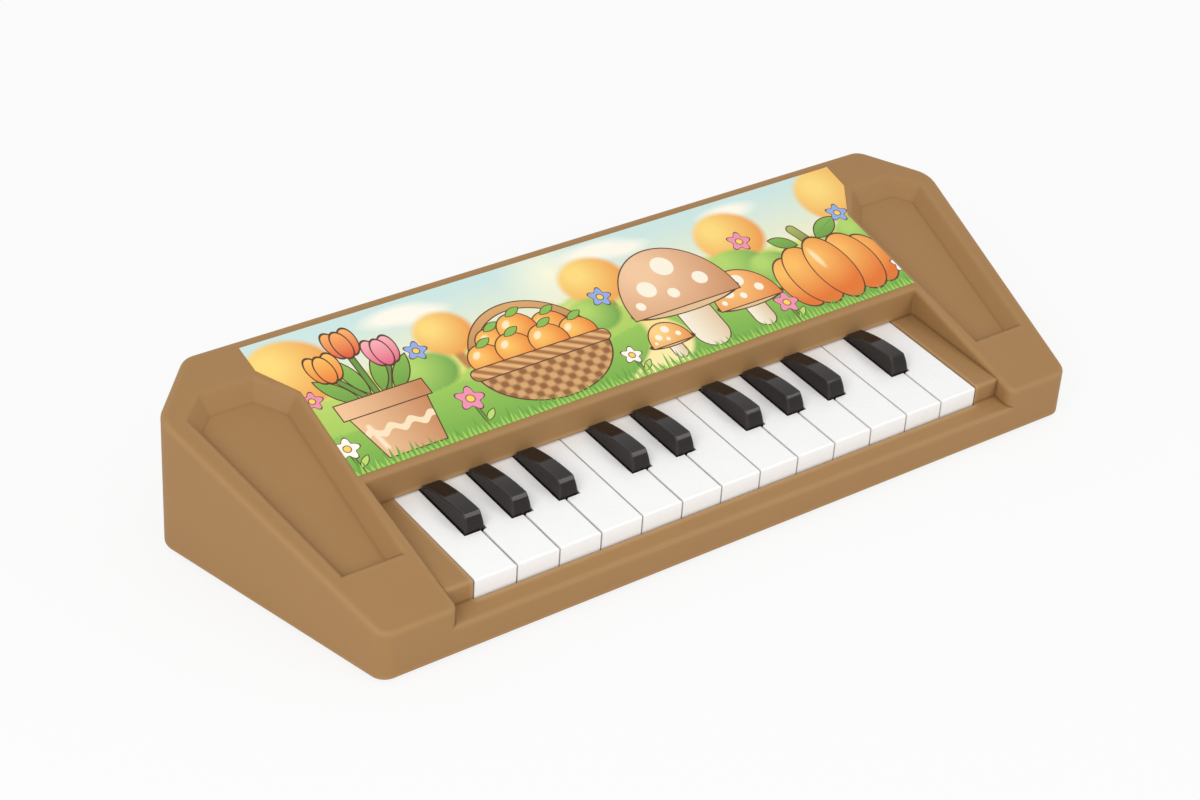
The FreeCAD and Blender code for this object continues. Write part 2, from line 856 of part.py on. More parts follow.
def base_plate():
    outline = inset(case_outline(), case_wall + base_gap)
    plate = prism(outline, base_bottom, base_top)
    radii = [front_corner_radius, front_corner_radius, side_corner_radius, ridge_corner_radius]
    for (x, y), radius in list(zip(outline, radii))[1:]:
        plate = plate.makeFillet(radius - case_wall, upright_edges(plate, x, y))
    plate = plate.cut(door_box(door_gap)).cut(grille())
    solids = [plate, battery_bay()]
    for x, y in case_screw_places():
        solids.append(post(x, y, cup_radius, base_bottom, base_bottom + cup_height))
    for x, y in speaker_screw_places():
        solids.append(post(x, y, speaker_post_radius, base_bottom, base_top + speaker_flange_thickness))
    for x, y in sound_board_stands():
        solids.append(post(x, y, stand_radius, base_bottom, sound_board_z))
    plate = joined(solids)
    for x, y in case_screw_places():
        plate = plate.cut(post(x, y, screw_head_radius + free_gap, 0, base_bottom + cup_floor))
        plate = plate.cut(post(x, y, screw_radius, 0, base_bottom + cup_height + overrun))
    seat = base_top + speaker_flange_thickness
    for x, y in speaker_screw_places():
        plate = plate.cut(post(x, y, screw_radius, seat - small_screw_length, seat + overrun))
    for x, y in carrier_screw_places():
        plate = plate.cut(post(x, y, screw_radius, carrier_top - small_screw_length, carrier_top))
    tip = sound_board_z + board_thickness - small_screw_length
    for x, y in sound_board_stands():
        plate = plate.cut(post(x, y, screw_radius, tip, sound_board_z))
    for x, y in foot_places():
        plate = plate.cut(post(x, y, foot_pin_radius, 0, base_top + overrun))
    return plate.cut(switch_window())


def battery_door():
    door = door_box(0)
    for x, y in door_screw_places():
        door = door.cut(post(x, y, screw_head_radius + free_gap, 0, base_bottom + base_thickness / 2))
        door = door.cut(post(x, y, screw_radius, 0, base_top + overrun))
    half = door_finger_width / 2
    front = inside_y - bay_inner_half
    low = base_bottom + door_finger_depth
    finger = block(bay_x - half, bay_x + half, front - overrun, front + half, base_bottom - overrun, low)
    return door.cut(finger)


def battery_door_screws():
    seat = base_bottom + base_thickness / 2
    return Part.makeCompound([screw(x, y, seat, door_screw_length, True) for x, y in door_screw_places()])


def cell_rows():
    """Middle line of each cell, and the way its positive end points."""
    return [(inside_y - cell_radius - cell_gap / 2, 1), (inside_y + cell_radius + cell_gap / 2, -1)]


def battery_cells():
    cells = []
    for y, way in cell_rows():
        start = bay_x - way * (cell_length + cell_nub_height) / 2
        can = Part.makeCylinder(cell_radius, cell_length, V(start, y, cell_z), V(way, 0, 0))
        end = V(start + way * cell_length, y, cell_z)
        nub = Part.makeCylinder(cell_nub_radius, cell_nub_height, end, V(way, 0, 0))
        cells.append(joined([can, nub]))
    return Part.makeCompound(cells)


def contact_plate(wall_x, way, y):
    """A flat sheet on the end wall of the bay with a bowed spring facing the cell."""
    half = contact_width / 2
    low = cell_z - half
    face_x = wall_x + way * contact_sheet
    sheet = block(min(wall_x, face_x), max(wall_x, face_x), y - half, y + half, low, cell_z + half)
    reach = contact_room - contact_sheet
    foot = V(face_x, y - half, low)
    crown = V(face_x + way * reach, y - half, cell_z)
    end = V(face_x, y - half, cell_z + half)
    outer = Part.Arc(foot, crown, end).toShape()
    thin = contact_sheet
    inner = Part.Arc(foot + V(0, 0, thin), crown - V(way * thin, 0, 0), end - V(0, 0, thin)).toShape()
    close = [Part.makeLine(inner.Vertexes[i].Point, outer.Vertexes[i].Point) for i in (0, -1)]
    bow = Part.Face(Part.Wire(Part.__sortEdges__([outer, inner] + close))).extrude(V(0, contact_width, 0))
    return joined([sheet, bow])


def battery_contacts():
    plates = []
    for y, way in cell_rows():
        plates.append(contact_plate(bay_left_x, 1, y))
        plates.append(contact_plate(bay_right_x, -1, y))
    return Part.makeCompound(plates)


def sound_board_stands():
    left, right = sound_board_left_x + stand_inset, sound_board_right_x - stand_inset
    front, back = sound_board_front_y + stand_inset, sound_board_back_y - stand_inset
    return [(left, front), (right, front), (right, back), (left, back)]


def sound_board():
    top = sound_board_z + board_thickness
    left, right = sound_board_left_x, sound_board_right_x
    board = block(left, right, sound_board_front_y, sound_board_back_y, sound_board_z, top)
    for x, y in sound_board_stands():
        board = board.cut(post(x, y, screw_radius, 0, top + overrun))
    return board


def sound_board_screws():
    seat = sound_board_z + board_thickness
    places = sound_board_stands()
    return Part.makeCompound([screw(x, y, seat, small_screw_length, False) for x, y in places])


def sound_chip():
    x = sound_board_x
    top = sound_board_z + board_thickness
    radius = (chip_radius ** 2 + chip_height ** 2) / (2 * chip_height)
    ball = Part.makeSphere(radius, V(x, inside_y, top + chip_height - radius))
    return ball.common(post(x, inside_y, chip_radius, top, top + chip_height))


def switch_window():
    """Slot in the base plate for the switch knob over its whole travel."""
    half = knob_length / 2 + free_gap
    width = knob_width / 2 + free_gap
    reach = knob_travel / 2 + half
    left, right = switch_x - reach, switch_x + reach
    return block(left, right, inside_y - width, inside_y + width, 0, base_top + overrun)


def power_switch_body():
    half, width = switch_length / 2, switch_width / 2
    top = base_top + switch_height
    body = block(switch_x - half, switch_x + half, inside_y - width, inside_y + width, base_top, top)
    reach = knob_travel / 2 + knob_length / 2 + free_gap
    slot = knob_width / 2 + free_gap
    depth = base_top + switch_height / 2
    left, right = switch_x - reach, switch_x + reach
    return body.cut(block(left, right, inside_y - slot, inside_y + slot, base_top, depth))


def power_switch_knob():
    start = switch_x - knob_travel / 2
    half, width = knob_length / 2, knob_width / 2
    low = base_bottom + knob_recess
    high = base_top + switch_height / 2 - free_gap
    knob = block(start - half, start + half, inside_y - width, inside_y + width, low, high)
    for side in (-1, 1):
        x = start + side * knob_length / 4
        left, right = x - knob_groove / 2, x + knob_groove / 2
        front, back = inside_y - knob_width, inside_y + knob_width
        knob = knob.cut(block(left, right, front, back, 0, low + knob_groove))
    return knob


def rubber_feet():
    feet = []
    for x, y in foot_places():
        pad = post(x, y, foot_radius, 0, base_bottom)
        low = [e for e in pad.Edges if e.CenterOfMass.z < foot_edge]
        low = [e for e in low if len(e.Vertexes) == 1]
        pad = pad.makeChamfer(foot_edge, low)
        feet.append(joined([pad, post(x, y, foot_pin_radius, base_bottom, base_top)]))
    return Part.makeCompound(feet)


def routed(points, bend):
    """A path through corner points, each corner turned with a tangent arc."""
    edges = []
    here = points[0]
    for i in range(1, len(points) - 1):
        corner = points[i]
        back = (points[i - 1] - corner).normalize()
        ahead = (points[i + 1] - corner).normalize()
        opening = back.getAngle(ahead) / 2
        reach = bend / math.tan(opening)
        start, stop = corner + back * reach, corner + ahead * reach
        centre = corner + (back + ahead).normalize() * (bend / math.sin(opening))
        middle = centre + (corner - centre).normalize() * bend
        edges.append(Part.LineSegment(here, start).toShape())
        edges.append(Part.Arc(start, middle, stop).toShape())
        here = stop
    edges.append(Part.LineSegment(here, points[-1]).toShape())
    return Part.Wire(edges)


def wire(points):
    path = routed(points, wire_bend)
    way = points[1] - points[0]
    ring = Part.Wire(Part.makeCircle(wire_radius, points[0], way))
    solid = path.makePipeShell([ring], True, False)
    wanted = math.pi * wire_radius ** 2 * path.Length
    print("wire volume over section times length:", round(solid.Volume / wanted, 4))
    return solid


def lead(start, end, high):
    """A wire that rises from one place, crosses and comes down on another."""
    return wire([start, V(start.x, start.y, high), V(end.x, end.y, high), end])


def speaker_wires():
    """Two leads from the speaker flange to the left edge of the sound board."""
    wires = []
    flange = speaker_radius - speaker_flange_width / 2
    end_z = sound_board_z + board_thickness
    for side in (-1, 1):
        angle = math.pi / 4 + side * wire_spacing / flange
        start_x = speaker_x() + flange * math.cos(angle)
        start_y = speaker_y + flange * math.sin(angle)
        start = V(start_x, start_y, base_top + speaker_flange_thickness)
        end = V(sound_board_left_x + stand_inset, inside_y + side * wire_spacing, end_z)
        wires.append(lead(start, end, end_z + 2 * wire_bend))
    return Part.makeCompound(wires)


def battery_wires():
    """Leads from the left cell contacts over the bay wall to the board and the switch."""
    near, far = [V(bay_left_x + wire_radius, y, cell_z + contact_width / 2) for y, way in cell_rows()]
    high = bay_roof + bay_wall + 2 * wire_bend
    board_x = sound_board_right_x - stand_inset
    board_end = V(board_x, inside_y + wire_spacing, sound_board_z + board_thickness)
    switch_end = V(switch_x + wire_spacing, inside_y, base_top + switch_height)
    return Part.makeCompound([lead(far, board_end, high), lead(near, switch_end, high)])


def switch_wire():
    top = base_top + switch_height
    end = V(sound_board_right_x - stand_inset, inside_y - wire_spacing, sound_board_z + board_thickness)
    return lead(V(switch_x - wire_spacing, inside_y, top), end, top + 2 * wire_bend)


def ribbon_cable():
    """Flat cable from the key contact board to the sound board."""
    x = sound_board_x
    board_top = carrier_top + board_thickness + ribbon_thickness / 2
    rise_y = (carrier_back_y + sound_board_front_y) / 2
    high = sound_board_z + board_thickness + ribbon_thickness / 2
    start = V(x, dome_y + contact_board_back - stand_inset / 2, board_top)
    end = V(x, sound_board_front_y + stand_inset, high)
    points = [start, V(x, rise_y, board_top), V(x, rise_y, high), end]
    path = routed(points, ribbon_bend_share * (high - board_top))
    half, thin = ribbon_width / 2, ribbon_thickness / 2
    corners = [(-half, -thin), (half, -thin), (half, thin), (-half, thin), (-half, -thin)]
    ring = Part.makePolygon([start + V(px, 0, pz) for px, pz in corners])
    return path.makePipeShell([ring], True, False)


def write(name, shape):
    shape.exportStep("parts/" + name + ".step")


write("upper_case", upper_case())
write("base_plate", base_plate())
write("artwork_label", artwork_label())
for number, note in enumerate(white_notes):
    write("white_key_" + note, white_key(number))
for note, number, middle_x in black_keys():
    write("black_key_" + note, black_key(middle_x))
makers = [key_carrier, key_pivot_rod, key_downstop_felt, key_upstop_felt, key_contact_board]
makers += [contact_rubber_strip, sound_board, sound_board_screws, sound_chip, ribbon_cable]
makers += [speaker_frame, speaker_magnet, speaker_cone, speaker_screws, speaker_wires]
makers += [battery_cells, battery_contacts, battery_door, battery_door_screws, battery_wires]
makers += [power_switch_body, power_switch_knob, switch_wire, case_screws, carrier_screws, rubber_feet]
for make in makers:
    write(make.__name__, make())
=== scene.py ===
# %% [markdown]
# # A toy piano
# This lesson dresses a finished CAD model of a small battery piano: a tan moulded case with a sloping
# top, a printed label, thirteen white keys and nine black ones. The shapes come from the CAD model, so
# the work here is finishes, light and camera. We load the model first. The dressed model has to stay
# the same size as the solids.

# %% Load the CAD model
import json
import math

import bmesh
import bpy
from mathutils import Matrix, Vector


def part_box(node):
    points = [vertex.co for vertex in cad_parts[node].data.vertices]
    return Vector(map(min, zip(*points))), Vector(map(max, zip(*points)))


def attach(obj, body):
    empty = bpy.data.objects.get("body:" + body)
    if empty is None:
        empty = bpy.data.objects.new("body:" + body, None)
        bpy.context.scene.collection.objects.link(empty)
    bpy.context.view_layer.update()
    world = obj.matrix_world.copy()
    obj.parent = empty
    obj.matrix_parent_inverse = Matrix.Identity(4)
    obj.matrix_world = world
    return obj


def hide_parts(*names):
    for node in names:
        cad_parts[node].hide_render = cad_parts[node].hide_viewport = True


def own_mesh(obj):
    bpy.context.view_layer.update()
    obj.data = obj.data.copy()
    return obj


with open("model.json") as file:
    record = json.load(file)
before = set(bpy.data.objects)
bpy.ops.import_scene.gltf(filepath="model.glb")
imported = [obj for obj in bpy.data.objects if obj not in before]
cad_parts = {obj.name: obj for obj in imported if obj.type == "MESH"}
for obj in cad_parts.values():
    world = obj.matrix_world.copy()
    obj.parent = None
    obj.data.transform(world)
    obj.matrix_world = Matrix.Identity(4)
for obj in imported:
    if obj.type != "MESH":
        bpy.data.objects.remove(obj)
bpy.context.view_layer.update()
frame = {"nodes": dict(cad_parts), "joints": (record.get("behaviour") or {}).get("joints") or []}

mm_in_m = 1000
nodes = frame["nodes"]


# %% [markdown]
# ## Shader maths as plain sums
# A finish is a small sum: a noise times a strength, added to a colour. Wiring that by hand hides the
# idea under dozens of nodes. So one class wraps a socket and lets Python's own operators add the Math
# nodes, while `make` adds any other node. Plain numbers never reach the tree: Python adds them up first.
# Colours and vectors go through Mix and Vector Math nodes, because a Math node turns a colour grey.

# %% A socket that does arithmetic
class Flow:
    """A socket in a shader tree; sums on it add Math nodes."""

    def __init__(self, tree, socket=None):
        self.tree = tree
        self.socket = socket

    def make(self, kind, settings=None, sockets=None, out=0):
        """Add a node: its settings first, then the values or links of its sockets."""
        node = self.tree.nodes.new("ShaderNode" + kind)
        for name, value in (settings or {}).items():
            setattr(node, name, value)
        for name, value in (sockets or {}).items():
            if isinstance(value, Flow):
                self.tree.links.new(value.socket, node.inputs[name])
            else:
                node.inputs[name].default_value = value
        return Flow(self.tree, node.outputs[out] if node.outputs else None)

    def math(self, operation, *others, clamp=False):
        """A Math node with this value first."""
        values = dict(enumerate((self, *others)))
        return self.make("Math", {"operation": operation, "use_clamp": clamp}, values)

    def __add__(self, other):
        return self.math("ADD", other)

    def __sub__(self, other):
        return self.math("SUBTRACT", other)

    def __rsub__(self, other):
        return self.make("Math", {"operation": "SUBTRACT"}, {0: other, 1: self})

    def __mul__(self, other):
        return self.math("MULTIPLY", other)

    def __truediv__(self, other):
        return self.math("DIVIDE", other)

    def __abs__(self):
        return self.math("ABSOLUTE")

    __radd__ = __add__
    __rmul__ = __mul__

    def most(self, other):
        return self.math("MAXIMUM", other)

    def sine(self):
        return self.math("SINE")

    def fade(self, low, high):
        """0 up to low, 1 from high, straight in between."""
        slope = 1 / (high - low)
        return self.math("MULTIPLY_ADD", slope, -low * slope, clamp=True)

    def between(self, first, second):
        """A colour from the first to the second; Mix has like-named sockets, so these are numbered."""
        return self.make("Mix", {"data_type": "RGBA"}, {0: self, 6: first, 7: second}, out=2)

    def vector(self, operation, *others, out="Vector"):
        """A Vector Math node with this value first."""
        values = dict(enumerate((self, *others)))
        return self.make("VectorMath", {"operation": operation}, values, out)

    def length(self):
        return self.vector("LENGTH", out="Value")

    def distance(self, point):
        return self.vector("DISTANCE", point, out="Value")

    def part(self, axis):
        """The X, Y or Z of a vector."""
        return self.make("SeparateXYZ", None, {0: self}, out=axis)

    def times(self, shade):
        """A colour or vector scaled by a value."""
        return self.make("VectorMath", {"operation": "SCALE"}, {0: self, "Scale": shade})


def tint(red, green, blue):
    """A colour picked on a screen, as the linear values that a shader takes."""
    parts = []
    for level in (red, green, blue):
        share = level / 255
        parts.append(share / 12.92 if share <= 0.04045 else ((share + 0.055) / 1.055) ** 2.4)
    return (*parts, 1)


print("tan plastic in linear values:", [round(v, 3) for v in tint(172, 134, 93)[:3]])

# %% [markdown]
# ## One start for every finish
# All finishes share a beginning: an empty tree with a Principled shader, and the place on the surface in
# millimetres. The CAD pieces sit at the origin with their place in the mesh, so Object coordinates are
# the model's own frame, and a grain of 0.3 mm is written as a noise scale of about 3.

# %% Start a finish and give it to pieces
def new_finish(name):
    """A material, its shader and the place on the surface in millimetres."""
    material = bpy.data.materials.new(name)
    material.use_nodes = True
    tree = material.node_tree
    place = Flow(tree).make("TexCoord", out="Object")
    return material, tree.nodes["Principled BSDF"], place.times(mm_in_m)


def feed(shader, name, value):
    """Link a varying value to a socket of the shader, or set a plain one on it."""
    if isinstance(value, Flow):
        value.tree.links.new(value.socket, shader.inputs[name])
    else:
        shader.inputs[name].default_value = value


def noise(place, scale, detail=2.0, roughness=0.5):
    sockets = {"Vector": place, "Scale": scale, "Detail": detail, "Roughness": roughness}
    return place.make("TexNoise", None, sockets)


def relief(height, depth, strength):
    """Bump of a depth in millimetres, from a height between 0 and 1."""
    sockets = {"Strength": strength, "Distance": depth / mm_in_m, "Height": height}
    return height.make("Bump", None, sockets)


def stretched(place, x, y, z):
    return place.vector("MULTIPLY", (x, y, z))


def dress(material, names):
    for name in names:
        nodes[name].data.materials.clear()
        nodes[name].data.materials.append(material)
    print(material.name, "on", len(names), "pieces,", len(material.node_tree.nodes), "nodes")


def dress_each(recipe, rows):
    """A finish for each row: the values that the recipe takes, then the pieces it goes on."""
    for *values, names in rows:
        dress(recipe(*values), names)


print("finishes measure in millimetres,", mm_in_m, "to the metre")

# %% [markdown]
# ## The moulded case
# The case is tan ABS from a mould that was spark-eroded to a fine matte skin. Three things make that
# plastic: a slow drift of colour where the melt flowed, a fine grain that breaks the reflections, and
# lighter edges, partly rubbed and partly a painted highlight on their rounding. An Ambient Occlusion
# node finds the inner corners, which get a painted shade, and the same node looking into the wall finds
# the rounded outer edges, where a short ray soon comes out again. Both masks follow the shape by
# themselves, where a mask drawn on the surface would need a layout.

# %% Masks for edges and corners
feelers = 8


def shut_in(place, reach, inside, alone):
    """How much of the view from a surface ends within a reach, outward or into the wall."""
    settings = {"samples": feelers, "inside": inside, "only_local": alone}
    return 1 - place.make("AmbientOcclusion", settings, {"Distance": reach / mm_in_m}, out="AO")


def edge_mask(place, reach):
    """1 along the rounded outer edges of a shape, 0 on its flats."""
    return shut_in(place, reach, True, True).fade(0.04, 0.34)


def crease_mask(place, reach, full, alone=True):
    """1 in the inner corners of a shape or, with its neighbours counted, in the gaps between pieces."""
    return shut_in(place, reach, False, alone).fade(0.02, full)


print("masks feel the shape with", feelers, "rays from each point")

# %% Matte moulded plastic
def moulded(name, colour, worn_and_highlit, grain, rough):
    material, shader, place = new_finish(name)
    drift = noise(place, 0.035, detail=3.0)
    cloud = noise(place, 0.4, detail=4.0, roughness=0.6)
    pits = noise(place, grain, detail=3.0, roughness=0.65)
    scuff = noise(stretched(place, 0.06, 1.1, 0.5), 1.3, detail=5.0, roughness=0.7).fade(0.66, 0.82)
    crease_shade = crease_mask(place, reach=0.8, full=0.12)
    edge = edge_mask(place, reach=1.9)
    # Painted shade: the crease mask darkens the inner corners.
    shade = 0.94 + drift * 0.07 + cloud * 0.04 - crease_shade * 0.26
    # Painted highlight and real wear: the rounded edges and the scuffs both move toward the lighter worn
    # colour.
    rubbed_and_highlit = (edge * 0.40 + scuff * 0.05).between(colour, worn_and_highlit)
    feed(shader, "Base Color", rubbed_and_highlit.times(shade))
    feed(shader, "Roughness", rough + cloud * 0.10 - edge * 0.06 - scuff * 0.05)
    feed(shader, "Normal", relief(pits + scuff * 0.2, depth=0.05, strength=0.55))
    feed(shader, "Specular IOR Level", 0.20)
    return material


# This lighter colour is a painted highlight on the rounded edges and real wear in the scuffs.
case_worn_and_highlit = tint(202, 165, 119)
dress_each(moulded, (
    ("tan_moulded_case", tint(164, 125, 80), case_worn_and_highlit, 2.6, 0.50, ["upper_case"]),
    ("tan_moulded_base", tint(160, 123, 80), case_worn_and_highlit, 1.9, 0.54, ["base_plate", "battery_door"]),
    ("grey_moulded_carrier", tint(196, 196, 190), tint(216, 216, 212), 1.6, 0.50, ["key_carrier"]),
    ("black_moulded_knob", tint(44, 44, 46), tint(84, 84, 86), 3.2, 0.45, ["power_switch_knob"]),
))

# %% [markdown]
# ## Key plastics
# Keys come out of a polished mould, so they shine. A perfect mirror looks like glass, though: real key
# tops sink a little over their ribs and carry a haze from fingers. A slow wave in the bump bends the
# reflections and a patchy roughness dulls them in places. The gaps between the keys get a painted shade,
# and their rounded edges a painted highlight.

# %% Glossy keys
def glossy(name, colour, hazed, rim, gap_shade, rough, haze, shine):
    material, shader, place = new_finish(name)
    wave = noise(place, 0.05, detail=1.0)
    touch = noise(place, 0.16, detail=3.0, roughness=0.55).fade(0.42, 0.74)
    edge = edge_mask(place, reach=0.8)
    gap_shade_mask = crease_mask(place, reach=1.2, full=0.7, alone=False)
    # Painted highlight: the rounded edges take the lighter rim colour.
    face = (edge * 0.6).between((touch * 0.5).between(colour, hazed), rim)
    # Painted shade: the gaps between the keys, and the corners close to them, take the dark gap colour.
    feed(shader, "Base Color", (gap_shade_mask * 0.4).between(face, gap_shade))
    feed(shader, "Roughness", rough + touch * haze + edge * 0.05)
    feed(shader, "Normal", relief(wave, depth=0.30, strength=0.30))
    feed(shader, "Specular IOR Level", shine)
    return material


white_names = [name for name in nodes if name.startswith("white_key")]
black_names = [name for name in nodes if name.startswith("black_key")]
# Each coat is a colour, its hazed colour, the colour of the painted highlight on the edges, and the colour
# of the painted shade in the gaps.
white_coat = tint(252, 252, 251), tint(248, 248, 249), tint(250, 250, 249), tint(158, 144, 132)
black_coat = tint(35, 29, 27), tint(41, 35, 32), tint(86, 80, 77), tint(14, 12, 11)
dress(glossy("white_key_gloss", *white_coat, rough=0.22, haze=0.10, shine=0.35), white_names)
dress(glossy("black_key_gloss", *black_coat, rough=0.08, haze=0.06, shine=0.22), black_names)

# %% [markdown]
# ## Metal parts
# Screws are zinc plated, the pivot rod is drawn wire, the switch shell and speaker basket are pressed
# sheet. All are one recipe: a brushed direction from a noise that is stretched along one axis, and dull
# patches where hands or grease have been. Only the colours and the pull of the brushing change.

# %% Plated and drawn metal
def metal(name, colour, dull, rough, pull):
    material, shader, place = new_finish(name)
    lines = noise(stretched(place, *pull), 2.2, detail=3.0)
    patch = noise(place, 0.5, detail=3.0).fade(0.45, 0.75)
    edge = edge_mask(place, reach=0.25)
    feed(shader, "Base Color", (patch * 0.6 + lines * 0.3 - edge * 0.3).between(colour, dull))
    feed(shader, "Roughness", rough + lines * 0.10 + patch * 0.14)
    feed(shader, "Metallic", 1 - patch * 0.12)
    feed(shader, "Normal", relief(lines, depth=0.02, strength=0.5))
    return material


screws = [name for name in nodes if name.endswith("_screws")]
contacts, shell = ["battery_contacts"], ["power_switch_body"]
dress_each(metal, (
    ("zinc_screw_steel", tint(206, 206, 202), tint(158, 156, 148), 0.30, (3, 3, 0.6), screws),
    ("drawn_rod_steel", tint(200, 200, 200), tint(160, 160, 160), 0.22, (0.05, 3, 3), ["key_pivot_rod"]),
    ("speaker_sheet_steel", tint(150, 150, 150), tint(110, 108, 104), 0.38, (1, 1, 3), ["speaker_frame"]),
    ("nickel_spring_sheet", tint(218, 217, 212), tint(180, 176, 168), 0.20, (3, 0.3, 3), contacts),
    ("switch_shell_steel", tint(200, 200, 198), tint(150, 150, 148), 0.32, (0.3, 3, 3), shell),
))

# %% [markdown]
# ## Rubber, felt and paper
# These lie under the toy or inside it and show only when it is turned over or opened. Each still gets
# what its material has up close: felt its tangled fibres, rubber a dusty bloom, paper pulp its clumps and
# the pressed magnet its grain. A stretched noise makes the fibres and a slower one the clumps, so all of
# them can share one recipe.

# %% Soft and fibrous pieces
def fibrous(name, colour, pale, rough, scale, depth):
    material, shader, place = new_finish(name)
    fibre = noise(stretched(place, 1, 0.35, 1), scale, detail=6.0, roughness=0.75)
    clump = noise(place, scale * 0.15, detail=3.0)
    feed(shader, "Base Color", (fibre * 0.7 + clump * 0.3).between(colour, pale))
    feed(shader, "Roughness", rough - fibre * 0.1)
    feed(shader, "Normal", relief(fibre + clump, depth, strength=0.8))
    feed(shader, "Specular IOR Level", 0.25)
    return material


felts = ["key_downstop_felt", "key_upstop_felt"]
dress_each(fibrous, (
    ("red_felt", tint(120, 30, 34), tint(176, 74, 72), 0.95, 2.4, 0.25, felts),
    ("cone_pulp", tint(48, 46, 44), tint(84, 80, 76), 0.92, 1.6, 0.15, ["speaker_cone"]),
    ("black_foot_rubber", tint(46, 46, 46), tint(74, 73, 71), 0.80, 1.1, 0.06, ["rubber_feet"]),
    ("ferrite_magnet", tint(60, 60, 62), tint(88, 86, 84), 0.75, 1.3, 0.08, ["speaker_magnet"]),
))

# %% [markdown]
# ## Domes under the keys
# Under every key a silicone dome pushes it back up. The CAD model has the sheet and its domes as one
# solid, which can't bend, so a pressed key would sink into its dome. Here a copy of that mesh is cut level
# with the sheet: the sheet stays one piece, each dome becomes a piece of its own, and the share of its
# height that a fully pressed key would leave is worked out.
# Lengths in these two cells are in metres, as in the frame.

# %% Cut a piece out of the rubber
rubber = "contact_rubber_strip"
rubber_finish = fibrous("grey_dome_rubber", tint(168, 168, 166), tint(196, 196, 194), 0.70, 0.8, 0.05)
weld = 1e-7
sharp_edge = math.radians(30)


def rubber_piece(name, planes):
    """A piece of the rubber: each plane takes off what lies before it and closes the cut."""
    shape = bmesh.new()
    shape.from_mesh(nodes[rubber].data)
    bmesh.ops.remove_doubles(shape, verts=shape.verts[:], dist=weld)
    for place, away in planes:
        whole = shape.verts[:] + shape.edges[:] + shape.faces[:]
        cut = bmesh.ops.bisect_plane(shape, geom=whole, plane_co=place, plane_no=away, clear_outer=True)
        rim = [item for item in cut["geom_cut"] if isinstance(item, bmesh.types.BMEdge)]
        bmesh.ops.holes_fill(shape, edges=rim)
    mesh = bpy.data.meshes.new(name)
    shape.to_mesh(mesh)
    shape.free()
    mesh.shade_smooth()
    mesh.set_sharp_from_angle(angle=sharp_edge)
    mesh.materials.append(rubber_finish)
    piece = bpy.data.objects.new(name, mesh)
    bpy.context.scene.collection.objects.link(piece)
    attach(piece, "case")
    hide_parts(rubber)
    return piece


# %% Rubber sheet and domes
above_sheet = 0.00001
dome_room = 0.0035
dome_slack = 0.00015
tail_end = 0.001
presses = {joint["child"]: joint for joint in frame["joints"]}
rubber_low, rubber_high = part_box(rubber)
dome_y = (rubber_low.y + rubber_high.y) / 2
cut_z = presses[white_names[0]]["deforming_nodes"][0]["fixed_end_z_m"] + above_sheet


def tail_x(name):
    """The middle of a key's rear end, which lies in line with its dome."""
    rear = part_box(name)[1].y - tail_end
    across = [point.co.x for point in nodes[name].data.vertices if point.co.y > rear]
    return (min(across) + max(across)) / 2


rubber_piece("rubber_sheet", [((0, 0, cut_z), (0, 0, 1))])
for name in white_names + black_names:
    x = tail_x(name)
    planes = [((0, 0, cut_z), (0, 0, -1))]
    planes += [((x + side * dome_room, 0, 0), (side, 0, 0)) for side in (-1, 1)]
    dome = rubber_piece("dome_under_" + name, planes)
    hinge = presses[name]
    drop = (hinge["pos_m"][1] - dome_y) * math.sin(math.radians(hinge["range_deg"][1]))
    keep = 1 - (drop - dome_slack) / (rubber_high.z - cut_z)
    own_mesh(dome)
print("domes flatten to", round(keep, 2), "of their height;", len(dome.data.polygons), "faces each")

# %% [markdown]
# ## Boards, cells and wires
# A circuit board shows the weave of its laminate and, under the lacquer, copper tracks. Two crossed wave
# textures give the weave. The straight borders of Voronoi cells stand in for the tracks, which would take
# a drawing otherwise. Wires, the ribbon cable and the wrap of the cells are plain bands of two colours.

# %% Boards and the chip's resin
def laminate(name, colour, track, mask):
    """A circuit board: woven laminate under lacquer with tracks in it."""
    material, shader, place = new_finish(name)
    cloth = 0.0
    for way in ("X", "Y"):
        sockets = {"Vector": place, "Scale": 0.9}
        cloth += place.make("TexWave", {"bands_direction": way}, sockets, out="Fac") * 0.5
    border = place.make("TexVoronoi", {"feature": "DISTANCE_TO_EDGE"}, {"Vector": place, "Scale": 0.22})
    tracks = 1 - border.fade(0.05, 0.09)
    feed(shader, "Base Color", (tracks * mask).between((cloth * 0.3).between(colour, track), track))
    feed(shader, "Roughness", 0.42 + cloth * 0.12 - tracks * 0.08)
    feed(shader, "Normal", relief(cloth * 0.3 + tracks, depth=0.04, strength=0.6))
    return material


dress_each(laminate, (
    ("brown_key_board", tint(150, 106, 58), tint(188, 150, 96), 0.6, ["key_contact_board"]),
    ("green_sound_board", tint(34, 104, 62), tint(88, 152, 98), 0.7, ["sound_board"]),
))
dress(glossy("black_chip_resin", *black_coat, rough=0.16, haze=0.10, shine=0.40), ["sound_chip"])

# %% Wires, ribbon cable and cells
def sleeve(name, first, second, bands):
    """Extruded insulation or a printed wrap: two colours in soft bands along X."""
    material, shader, place = new_finish(name)
    dust = noise(place, 1.2, detail=4.0)
    stripe = (place.part("X") * bands).sine().fade(-0.15, 0.15)
    feed(shader, "Base Color", stripe.between(first, second).times(0.88 + dust * 0.2))
    feed(shader, "Roughness", 0.36 + dust * 0.16)
    feed(shader, "Normal", relief(dust, depth=0.03, strength=0.5))
    return material


wires = ["speaker_wires", "battery_wires", "switch_wire"]
dress_each(sleeve, (
    ("red_wire_sleeve", tint(188, 40, 36), tint(170, 34, 32), 0.9, wires),
    ("grey_ribbon_sleeve", tint(176, 176, 178), tint(150, 150, 154), 4.4, ["ribbon_cable"]),
    ("blue_cell_wrap", tint(58, 116, 160), tint(214, 190, 120), 0.10, ["battery_cells"]),
))

